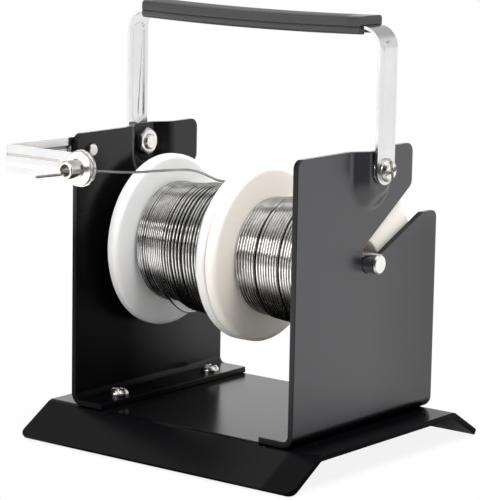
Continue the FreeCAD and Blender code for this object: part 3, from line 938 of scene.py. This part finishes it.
def left_outer(turn, count, end_angle=math.radians(12.0)):
    """A raised bundle and dense turns at the left, slack ones at the right and one loop that hangs."""
    left = count - turn
    x = left_to - 0.77 - slack_pitch * min(left, slack_turns) - dense_pitch * max(left - slack_turns, 0.0)
    angle = end_angle + 2.0 * math.pi * left
    radius = taper(x, left_reel_x, left_small, left_large) - wire_d / 2.0 - 0.1
    slack = min(max((slack_turns + 1.0 - left) / 2.0, 0.0), 1.0)
    still = min(left * 3.0, 1.0)
    below = max(-math.cos(angle), 0.0)
    front = max(-math.sin(angle), 0.0)
    x += still * (0.07 + 0.25 * slack) * math.sin(angle + turn * 2.4) * math.cos(turn * 1.7)
    x -= still * 0.35 * slack * front * math.sin(turn * 0.9)
    radius += still * slack * (1.7 * below ** 2 + 0.12 * math.sin(2.0 * angle + turn * 1.3))
    if left > count - 3.6:
        radius += 0.8 * min(left - count + 3.6, 1.0)
    if 19.97 < left < 20.97:
        radius += 6.2 * max(math.cos(angle - math.radians(168.0)), 0.0) ** 7
        x += 0.8 * below
    return x, radius, angle


left_count = slack_turns + int((left_to - left_from - 1.4 - slack_turns * slack_pitch) / dense_pitch)
left_wire = wound("left_reel_wire", left_count, wire_d, lambda turn: left_outer(turn, left_count))


def under_layer(name, x0, first, last, small, large, depth):
    """Even inner turns from first to last, depth millimetres below the taper."""
    count = int((last - first) / 1.02)

    def rule(turn):
        x = first + (last - first) * turn / count
        angle = -2.0 * math.pi * turn
        wave = 0.12 * math.sin(angle + turn * 3.1)
        return x + wave, taper(x, x0, small, large) - depth, angle

    return wound(name, count, wire_d, rule, under_sides)


left_under = under_layer(
    "left_reel_inner_wire", left_reel_x, left_from + 0.65, left_to - 0.65, left_small, left_large, 1.5)
fit(left_wire, "left_reel", "solder", left_tin, "left_winding_turns")
fit(left_under, "left_reel", "solder", painted_shade_inner_tin, "left_winding_core")

# %% Right winding
right_from = right_reel_x + flange
right_to = right_reel_x + reel_length - flange
right_wire_d = 1.42


def right_outer(turn, count):
    """Even turns of a thicker wire with two wider gaps."""
    first = right_from + 0.8
    pitch = (right_to - right_from - 1.6) / count
    x = first + pitch * turn
    angle = math.radians(30.0) - 2.0 * math.pi * turn
    radius = taper(x, right_reel_x, right_small, right_large) - right_wire_d / 2.0 - 0.15
    below = max(-math.cos(angle), 0.0)
    x += 0.10 * math.sin(angle + turn * 2.9) * math.cos(turn * 1.9 + 0.6)
    for gap in (7.0, 15.0):
        x += 0.45 * math.tanh((turn - gap) * 3.0) * math.exp(-((turn - gap) / 2.5) ** 2)
    radius += 0.07 * math.sin(2.0 * angle + turn) + 0.5 * below ** 2
    return x, radius, angle


right_count = int((right_to - right_from - 1.6) / 1.5)
right_wire = wound("right_reel_wire", right_count, right_wire_d, lambda turn: right_outer(turn, right_count))
right_under = under_layer("right_reel_inner_wire", right_reel_x, right_from + 0.65, right_to - 0.65,
                          right_small, right_large, 1.9)


def crossing(turn):
    """Two thirds of a turn that climbs over its neighbours to the right, near the top."""
    angle = math.radians(235.0 - 240.0 * turn)
    climb = min(max((turn - 0.15) / 0.7, 0.0), 1.0)
    climb = climb * climb * (3.0 - 2.0 * climb)
    x = 16.0 + 13.0 * climb
    lift = math.sin(math.pi * min(max(turn, 0.0), 1.0)) ** 0.5
    return x, taper(x, right_reel_x, right_small, right_large) - 1.3 + 1.5 * lift, angle


cross_wire = wound("right_reel_crossing_wire", 2, right_wire_d, lambda turn: crossing(turn / 2.0))
fit(right_wire, "right_reel", "solder", right_tin, "right_winding_turns")
fit(right_under, "right_reel", "solder", painted_shade_inner_tin, "right_winding_core")
fit(cross_wire, "right_reel", "solder", right_tin)

# %% [markdown]
# ## Carry strap
# The handle is a flat strip with round ends, bent twice. A long panel is pressed outward in each
# leg. On the flat strip each leg's panel is drawn as a rounded outline, then inset and raised.

# %% Carry strap
strap = 1.2
strap_half = 5.8
strap_outer = sheet_outer + boss_height + 0.8 + strap
strap_top = pivot_z + 55.0
strap_bend = 8.5
leg_foot = pivot_z - strap_half
strap_arc = strap_bend * math.pi / 2.0
top_half = strap_outer - strap_bend
leg_start = top_half + strap_arc
strip_half = leg_start + (strap_top - strap_bend - leg_foot)


def strip_place(z):
    """How far from the strip's middle the leg's height z lies on the flat strip."""
    return leg_start + (strap_top - strap_bend - z)


def bow(x):
    """How far the handle's top run has sagged in the middle, from years of carrying."""
    return -0.95 * max(1.0 - (x / top_half) ** 2, 0.0)


def bent_strap(place):
    along = place.x * 1000.0
    side = math.copysign(1.0, along)
    past = abs(along) - top_half
    if past <= 0:
        return place + Vector((0, 0, bow(along) / 1000.0))
    turn = min(past / strap_bend, math.pi / 2.0)
    run = max(past - strap_arc, 0.0)
    rise = place.z * 1000.0 - strap_top
    reach = strap_bend + rise
    x = top_half + reach * math.sin(turn)
    z = strap_top - strap_bend + reach * math.cos(turn) - run
    return Vector((side * x / 1000.0, place.y, z / 1000.0))


strip = rounded_path([
    (-strip_half, -strap_half, strap_half - 0.01), (strip_half, -strap_half, strap_half - 0.01),
    (strip_half, strap_half, strap_half - 0.01), (-strip_half, strap_half, strap_half - 0.01)], 10)
carry = outline("carry_strap", [at(p.x, p.y, strap_top) for p in strip])
panel_low = strip_place(pivot_z + 7.0)
panel_high = leg_start - 3.2
panel_half = 4.2
panels = []
for side in (-1, 1):
    ends = sorted((side * panel_low, side * panel_high))
    stadium = rounded_path([
        (ends[0], -panel_half, panel_half - 0.01), (ends[1], -panel_half, panel_half - 0.01),
        (ends[1], panel_half, panel_half - 0.01), (ends[0], panel_half, panel_half - 0.01)], 10)
    panels.append(flat_face("panel", [at(p.x, p.y, strap_top) for p in stadium], (0, 0, 1)))
take(carry)
for panel in panels:
    panel.select_set(True)
bpy.ops.object.join()
edit(carry)
bpy.ops.mesh.select_mode(type="EDGE")
bpy.ops.mesh.fill()
pick("FACE", lambda face: len(face.verts) > 12)
bpy.ops.mesh.inset(thickness=0.0009, depth=0.0004, use_individual=True)
cuts = [top_half + strap_arc * k / 12.0 for k in range(13)] + [top_half * k / 6.0 for k in range(1, 6)]
for place in [side * cut for side in (-1, 1) for cut in cuts] + [0.0]:
    bpy.ops.mesh.select_all(action="SELECT")
    bpy.ops.mesh.bisect(plane_co=at(place, 0, strap_top), plane_no=(1, 0, 0))
bpy.ops.mesh.select_all(action="SELECT")
bpy.ops.mesh.normals_make_consistent(inside=False)
leave_edit()
if sum(face.normal.z * face.area for face in carry.data.polygons) < 0:
    edit(carry)
    bpy.ops.mesh.flip_normals()
    leave_edit()
for vertex in carry.data.vertices:
    vertex.co = bent_strap(vertex.co)
thicken(carry, strap)
cut_out(carry, cylinder("strap_hole", at(0, 0, pivot_z), (1, 0, 0), 3.05, 160.0))
crisp(carry, 0.18, 2, 20.0)
fit(carry, "handle", "bright_strip", strap_plating, "handle_strap")

# %% [markdown]
# ## Grip
# The grip is a C-shaped moulding pushed over the strap's top run. Its section is drawn once and
# pushed along the strap, then its edges are rounded.

# %% Grip
grip_half_length = 54.0
grip_half_width = 7.5
grip_top = strap_top + 3.6
grip_bottom = grip_top - 6.9
room = strap_half + 0.1
mouth = room - 1.9
strap_under = strap_top - strap - 0.1
slot_top = strap_top + 0.1
seam = grip_top - 4.0
grip_section = rounded_path([
    (-grip_half_width, grip_bottom, 1.5), (-grip_half_width, seam - 0.35, 0.1),
    (0.35 - grip_half_width, seam, 0.1),
    (-grip_half_width, seam + 0.35, 0.1), (-grip_half_width, grip_top, 1.5),
    (grip_half_width, grip_top, 1.5), (grip_half_width, seam + 0.35, 0.1),
    (grip_half_width - 0.35, seam, 0.1),
    (grip_half_width, seam - 0.35, 0.1), (grip_half_width, grip_bottom, 1.5), (mouth, grip_bottom, 0.5),
    (mouth, strap_under, 0.4), (room, strap_under, 0.2), (room, slot_top, 0.2),
    (-room, slot_top, 0.2), (-room, strap_under, 0.2), (-mouth, strap_under, 0.4),
    (-mouth, grip_bottom, 0.5)], 6)
grip = bar("carry_grip", [at(-grip_half_length, p.x, p.y) for p in grip_section],
           (2.0 * grip_half_length, 0, 0))
crisp(grip, 0.5, 3, 50.0)
edit(grip)
for k in range(1, 24):
    bpy.ops.mesh.select_all(action="SELECT")
    bpy.ops.mesh.bisect(plane_co=at(grip_half_length * (k - 12) / 12.0, 0, strap_top), plane_no=(1, 0, 0))
leave_edit()
for vertex in grip.data.vertices:
    vertex.co.z += bow(vertex.co.x * 1000.0) / 1000.0
shaded(grip, 30.0)
fit(grip, "handle", "grip_plastic", grip_black, "handle_grip")

# %% [markdown]
# ## Guide arm
# The arm is a narrow strip with a raised rib, bent once round the stand's corner, with a round end
# that carries the tube. The rib is pressed the same way as the strap's panels.

# %% Guide arm
arm = 1.15
arm_half = 5.5
arm_inner = sheet_outer + 0.1
arm_outer = arm_inner + arm
arm_front = 85.5
arm_bend = 2.5
arm_end_x = -17.5
arm_end_r = 7.0
arm_rise = math.radians(0.94)
corner_length = arm_bend * math.pi / 2.0
side_run = arm_front - arm_bend + arm_pivot_y
front_run = arm_outer - arm_bend + arm_end_x


def bent_arm(along, across, out):
    """Place of a point of the flat arm: along from the pivot, across it, out from its face."""
    if along <= side_run:
        return at(-arm_outer - out, arm_pivot_y - along, arm_z + across)
    turn = min((along - side_run) / arm_bend, math.pi / 2.0)
    run = max(along - side_run - corner_length, 0.0)
    reach = arm_bend + out
    x = -arm_outer + arm_bend - reach * math.cos(turn) + run
    y = -arm_front + arm_bend - reach * math.sin(turn)
    return at(x, y, arm_z + across)


end_along = side_run + corner_length + front_run
neck = math.sqrt(arm_end_r ** 2 - arm_half ** 2)
arm_points = []
for k in range(13):
    turn = math.pi / 2.0 + math.pi * k / 12.0
    arm_points.append((arm_half * math.cos(turn), arm_half * math.sin(turn)))
neck_turn = math.atan2(arm_half, neck)
for k in range(25):
    turn = -math.pi + neck_turn + (2.0 * math.pi - 2.0 * neck_turn) * k / 24.0
    arm_points.append((end_along + arm_end_r * math.cos(turn), arm_end_r * math.sin(turn)))
guide = flat_face("guide_strip", [Vector((a, b, 0)) / 1000.0 for a, b in arm_points], (0, 0, 1))
rib_half = 2.3
rib_from = arm_half + 1.5
rib_to = end_along - arm_end_r - 1.0
edit(guide)
for place in [rib_from - 1.0, rib_to + 1.0] + [side_run + corner_length * k / 6.0 for k in range(7)]:
    bpy.ops.mesh.select_all(action="SELECT")
    bpy.ops.mesh.bisect(plane_co=(place / 1000.0, 0, 0), plane_no=(1, 0, 0))
pick("FACE", lambda face: rib_from - 1.0 < face.calc_center_median().x * 1000.0 < rib_to + 1.0)
bpy.ops.mesh.inset(thickness=(arm_half - rib_half) / 1000.0, depth=0.0)
bpy.ops.mesh.inset(thickness=0.0009, depth=0.00035)
leave_edit()
for vertex in guide.data.vertices:
    vertex.co = bent_arm(vertex.co.x * 1000.0, vertex.co.y * 1000.0, vertex.co.z * 1000.0)
edit(guide)
bpy.ops.mesh.normals_make_consistent(inside=False)
leave_edit()
front_faces = [f for f in guide.data.polygons if abs(f.normal.y) > 0.9]
if sum(f.normal.y * f.area for f in front_faces) > 0:
    edit(guide)
    bpy.ops.mesh.flip_normals()
    leave_edit()
thicken(guide, arm)
cut_out(guide, cylinder("guide_strip_hole", at(-sheet_outer, arm_pivot_y, arm_z), (1, 0, 0), 2.55, 12.0))
cut_out(guide, cylinder("tube_hole", at(arm_end_x, -arm_front, arm_z), (0, 1, 0), 3.55, 12.0))
crisp(guide, 0.16, 2, 20.0)

# %% Guide tube
tube_r = 3.5
tube_bore = 2.25
tube_flange_r = 6.7
tube_flange = 1.8
tube_reach = 94.4
arm_back = -arm_front + arm
tube_profile = rounded_path([
    (-tube_reach, tube_bore, 0.35), (-tube_reach, tube_r, 0.55), (-arm_front - tube_flange, tube_r, 0.5),
    (-arm_front - tube_flange, tube_flange_r, 0.45), (-arm_front, tube_flange_r, 0.2),
    (-arm_front, tube_r, 0),
    (arm_back, tube_r, 0), (arm_back, tube_r + 0.6, 0.1), (arm_back + 0.6, tube_r, 0.2),
    (arm_back + 0.6, tube_bore, 0.3)], 4)
tube = lathe("guide_tube", [(p.x, p.y) for p in tube_profile], at(arm_end_x, 0, arm_z), (0, 1, 0), 64)
shaded(tube, 30.0)
lift = (Matrix.Translation(at(0, arm_pivot_y, arm_z)) @ Matrix.Rotation(-arm_rise, 4, "X")
        @ Matrix.Translation(-at(0, arm_pivot_y, arm_z)))
for piece in (guide, tube):
    piece.data.transform(lift)
fit(guide, "guide", "bright_strip", arm_plating, "guide_arm")
fit(tube, "guide", "plated_screw", screw_nickel, "guide_bushing")

# %% [markdown]
# ## Screws, nuts and washers
# The handle turns on two pan-head screws with a cross recess, each with a washer on the boss and a
# chamfered nut behind it. A head is turned once, the cross is cut with two bars, and the screw is then
# copied to the other side. The same tool makes the guide arm's screw and the four foot screws.

# %% Tool for screws
def moved(piece, matrix):
    piece.data.transform(matrix)
    return piece


def pan_screw(name, shank_r, shank_length, head_r, head, turn=0.0):
    """A pan-head screw that stands on z = 0 with its shank below."""
    profile = rounded_path([
        (head, 0, 0), (head, head_r * 0.72, head_r * 0.30), (head * 0.42, head_r, head * 0.30),
        (0, head_r, 0.12), (0, shank_r, 0.1), (-shank_length + 0.35, shank_r, 0),
        (-shank_length, shank_r - 0.35, 0),
        (-shank_length, 0, 0)], 5)
    piece = lathe(name, [(p.x, p.y) for p in profile], Vector((0, 0, 0)), (0, 0, 1), 48)
    for side in (0.0, 90.0):
        reach, wide, depth = head_r * 0.80, head_r * 0.19, head * 0.78
        slot = bar("slot", [Vector((a, b, (head - depth))) / 1000.0 for a, b in (
            (-reach, -wide), (reach, -wide), (reach, wide), (-reach, wide))], (0, 0, depth * 2.0))
        cut_out(piece, moved(slot, Matrix.Rotation(math.radians(side + turn), 4, "Z")))
    apply(piece, "BEVEL", width=0.00012, segments=2, limit_method="ANGLE", angle_limit=math.radians(50.0))
    shaded(piece, 35.0)
    return piece


def hexagon_nut(name, flats, height, bore_r):
    """A nut that stands on z = 0, chamfered above."""
    corner = flats / 2.0 / math.cos(math.pi / 6.0)
    piece = bar(name, [Vector((corner * math.cos(k * math.pi / 3.0),
                               corner * math.sin(k * math.pi / 3.0), 0)) / 1000.0
                       for k in range(6)], (0, 0, height))
    # The turned form goes past both ends of the bar. Where two faces lie in one plane, the cut can fail.
    wide, narrow, chamfer, past = corner + 0.2, flats * 0.475, 0.75, 0.5
    tip = narrow - (wide - narrow) * past / chamfer
    crown = lathe("crown", [(-past, 0), (-past, wide), (height - chamfer, wide), (height + past, tip),
                            (height + past, 0)], Vector((0, 0, 0)), (0, 0, 1), 48)
    apply(piece, "BOOLEAN", operation="INTERSECT", object=crown, solver="EXACT")
    bpy.data.objects.remove(crown, do_unlink=True)
    cut_out(piece, cylinder("thread", Vector((0, 0, height / 2000.0)), (0, 0, 1), bore_r, height * 3.0, 32))
    apply(piece, "BEVEL", width=0.00015, segments=2, limit_method="ANGLE", angle_limit=math.radians(25.0))
    shaded(piece, 25.0)
    return piece


def washer_ring(name, radius, bore_r, height):
    profile = rounded_path([(0, bore_r, 0.08), (0, radius, 0.25),
                            (height, radius, 0.25), (height, bore_r, 0.08)], 3)
    piece = lathe(name, [(p.x, p.y) for p in profile], Vector((0, 0, 0)), (0, 0, 1), 48)
    shaded(piece, 40.0)
    return piece


def facing(axis, place):
    """Turns the +Z of a piece to the axis and moves it to the place."""
    turn = Vector((0, 0, 1)).rotation_difference(Vector(axis))
    return Matrix.Translation(place) @ turn.to_matrix().to_4x4()


def joined(name, pieces):
    take(pieces[0])
    for piece in pieces[1:]:
        piece.select_set(True)
    bpy.ops.object.join()
    bpy.context.object.name = bpy.context.object.data.name = name
    return bpy.context.object


# %% Handle screws
boss_top = sheet_outer + boss_height
screw_seat = boss_top + 0.8 + strap
screw_end = sheet_inner + boss_height - 3.0 - 1.0
right_screw = moved(pan_screw("right_screw", 3.0, screw_seat - screw_end, 4.6, 2.8, 12.0),
                    facing((1, 0, 0), at(screw_seat, 0, pivot_z)))
right_ring = moved(washer_ring("right_ring", 5.75, 3.05, 0.8), facing((1, 0, 0), at(boss_top, 0, pivot_z)))
right_nut_seat = at(sheet_inner + boss_height, 0, pivot_z)
right_nut = moved(hexagon_nut("right_nut", 10.0, 3.0, 3.05), facing((-1, 0, 0), right_nut_seat))
handle_screws = joined("handle_pan_screws", [right_screw, mirrored(right_screw, "left_screw")])
handle_rings = joined("handle_rings", [right_ring, mirrored(right_ring, "left_ring")])
handle_nuts = joined("handle_hexagon_nuts", [right_nut, mirrored(right_nut, "left_nut")])
fit(handle_screws, "stand", "plated_screw", screw_nickel, "handle_screws")
fit(handle_rings, "stand", "plated_screw", screw_nickel, "handle_washers")
fit(handle_nuts, "stand", "plated_screw", screw_nickel, "handle_nuts")

# %% Guide screw
guide_seat = -sheet_outer - 0.1 - arm - 0.8
guide_screw = moved(pan_screw("guide_pan_screw", 2.5, -sheet_inner + 1.4 - guide_seat, 4.3, 2.6, 30.0),
                    facing((-1, 0, 0), at(guide_seat, arm_pivot_y, arm_z)))
guide_ring_seat = at(guide_seat + 0.8, arm_pivot_y, arm_z)
guide_ring = moved(washer_ring("guide_ring", 5.25, 2.55, 0.8), facing((-1, 0, 0), guide_ring_seat))
fit(guide_screw, "stand", "plated_screw", screw_nickel, "guide_screw")
fit(guide_ring, "stand", "plated_screw", screw_nickel, "guide_washer")

# %% Foot screws and nuts
foot_screw = pan_screw("foot_screw", 2.0, 2.0 * sheet + 3.8, 4.0, 2.6)
foot_nut = hexagon_nut("foot_nut", 7.0, 3.2, 2.05)
screws, nuts = [], []
for k, (x, y) in enumerate([(x, y) for x in (-foot_x, foot_x) for y in (-foot_y, foot_y)]):
    for source, made, matrix in (
            (foot_screw, screws, Matrix.Translation(at(x, y, deck_top + sheet))
             @ Matrix.Rotation(0.5 + 1.3 * k, 4, "Z")),
            (foot_nut, nuts, facing((0, 0, -1), at(x, y, deck_top - sheet)))):
        take(source)
        bpy.ops.object.duplicate()
        made.append(moved(bpy.context.object, matrix))
bpy.data.objects.remove(foot_screw, do_unlink=True)
bpy.data.objects.remove(foot_nut, do_unlink=True)
fit(joined("foot_pan_screws", screws), "stand", "plated_screw", screw_nickel, "foot_screws")
fit(joined("foot_hexagon_nuts", nuts), "stand", "plated_screw", screw_nickel, "foot_nuts")

# %% [markdown]
# ## Rod
# The rod keeps its CAD form, a plain bar with a chamfer at each end, and gets its finish here.

# %% Finish of the rod
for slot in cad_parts["axle_rod"].material_slots:
    slot.material = rod_nickel

# %% [markdown]
# ## Studio
# A product photograph on white needs a white floor and a white backdrop behind the object. The room
# behind the camera is dark, and the bright metal shows that as dark bands. A soft box stands at the
# front left, another at the right, and a wide one hangs above.

# %% Floor and backdrop
start_fresh()
bpy.ops.mesh.primitive_plane_add(size=8.0, location=(0, 0, -0.0003))
floor = bpy.context.object
floor.name = "floor"
floor_finish = Finish("floor_white")
rays = floor_finish.tree.nodes.new("ShaderNodeLightPath")
to_camera = Value(floor_finish, rays.outputs["Is Camera Ray"])
to_gloss = Value(floor_finish, rays.outputs["Is Glossy Ray"])
spot = floor_finish.tree.nodes.new("ShaderNodeSeparateXYZ")
floor_finish.plug(spot.inputs[0], floor_finish.node("ShaderNodeTexCoord", output="Object"))
floor_x = Value(floor_finish, spot.outputs[0])
floor_y = Value(floor_finish, spot.outputs[1])
# For glossy rays the floor shows a painted reflection: an emission map up to 2.9 times white. It is dark near
# the stand as a painted shadow and dark at the front right, dimmer behind, and brightest at the front left.
far = (floor_x / 0.085) ** 2.0 + ((floor_y - 0.015) / 0.08) ** 2.0
beyond = far.above(0.8, 2.6)
at_back = floor_y.above(-0.16, 0.02)
at_left = 1.0 - floor_x.above(-0.06, 0.06)
near_left = 1.0 - (0.0 - floor_x - floor_y).above(0.72, 0.95)
painted_left_reflection = at_left * (0.40 + near_left * 0.60)
painted_reflection_share = beyond * (at_back * 0.40 + (1.0 - at_back) * (painted_left_reflection + (1.0 - at_left) * 0.04))
matt = floor_finish.node("ShaderNodeBsdfDiffuse", {}, {"Color": (0.60, 0.60, 0.60)})
glow = floor_finish.node("ShaderNodeEmission", {}, {"Color": (1.0, 1.0, 1.0), "Strength": 1.0})
sheen = floor_finish.node("ShaderNodeEmission", {}, {"Color": (1.0, 1.0, 1.0), "Strength": 2.9})
dark = floor_finish.node("ShaderNodeEmission", {}, {"Color": (0.003, 0.003, 0.003), "Strength": 1.0})
seen = floor_finish.node("ShaderNodeMixShader", {}, {0: to_camera * (0.88 + beyond * 0.12), 1: matt, 2: glow})
painted_floor_reflection = floor_finish.node("ShaderNodeMixShader", {}, {0: painted_reflection_share, 1: dark, 2: sheen})
floor_mix = floor_finish.node("ShaderNodeMixShader", {}, {0: to_gloss, 1: seen, 2: painted_floor_reflection})
floor.data.materials.append(floor_finish.done(floor_mix))

world = bpy.data.worlds.new("studio")
bpy.context.scene.world = world
sky = Finish("studio", world)
way = sky.node("ShaderNodeTexCoord", output="Generated")
split = sky.tree.nodes.new("ShaderNodeSeparateXYZ")
sky.plug(split.inputs[0], way)
across = Value(sky, split.outputs[0])
ahead = Value(sky, split.outputs[1])
up = Value(sky, split.outputs[2])
front = 1.0 - ahead.above(-0.26, 0.0)
left = 1.0 - across.above(-0.42, -0.20)
low = 1.0 - up.above(0.20, 0.34)
side = left * (1.0 - ahead.above(-0.50, -0.42))
box = side * up.above(0.27, 0.32) * (1.0 - up.above(0.56, 0.72))
horizon = side * (1.0 - up.above(0.088, 0.104))
behind_left = left * (0.50 + low * 1.40 + up.above(0.78, 0.92) * 2.2)
behind_right = (1.0 - left) * (0.9 - up.above(0.38, 0.52) * 0.38)
level = (behind_left + behind_right) * (1.0 - front * 0.96) + front * up.above(0.58, 0.80) * 0.9
level = level.maths("MAXIMUM", level + side * 0.10, box * 1.10)
level = level.maths("MAXIMUM", level, horizon * 2.3)
tint = sky.blend(box, (1.0, 1.0, 1.0), (1.0, 0.93, 0.86))
sky_rays = sky.tree.nodes.new("ShaderNodeLightPath")
camera_ray = Value(sky, sky_rays.outputs["Is Camera Ray"])
strength = camera_ray + (1.0 - camera_ray) * level
back = sky.node("ShaderNodeBackground", {}, {"Color": tint, "Strength": strength})
world_out = sky.tree.nodes.new("ShaderNodeOutputWorld")
sky.tree.links.new(back.socket, world_out.inputs["Surface"])


def soft_box(name, place, size, power, colour=(1.0, 1.0, 1.0)):
    """A rectangular lamp that points at the middle of the stand."""
    data = bpy.data.lights.new(name, "AREA")
    data.shape = "RECTANGLE"
    data.size, data.size_y = size
    data.energy = power
    data.color = colour
    lamp = bpy.data.objects.new(name, data)
    bpy.context.collection.objects.link(lamp)
    lamp.location = place
    lamp.rotation_euler = (Vector((0, 0, 0.08)) - Vector(place)).to_track_quat("-Z", "Y").to_euler()
    return lamp


soft_box("right_box", (0.85, 0.20, 1.3), (1.2, 1.2), 3.0)
soft_box("front_box", (-0.15, -1.25, 0.65), (1.1, 0.6), 8.0, (1.0, 0.97, 0.94))
top_box = soft_box("top_box", (0.35, 0.1, 1.4), (1.0, 1.0), 33.0)
top_box.visible_glossy = False

# %% Finish
scene = bpy.context.scene
scene.view_settings.view_transform = "Standard"
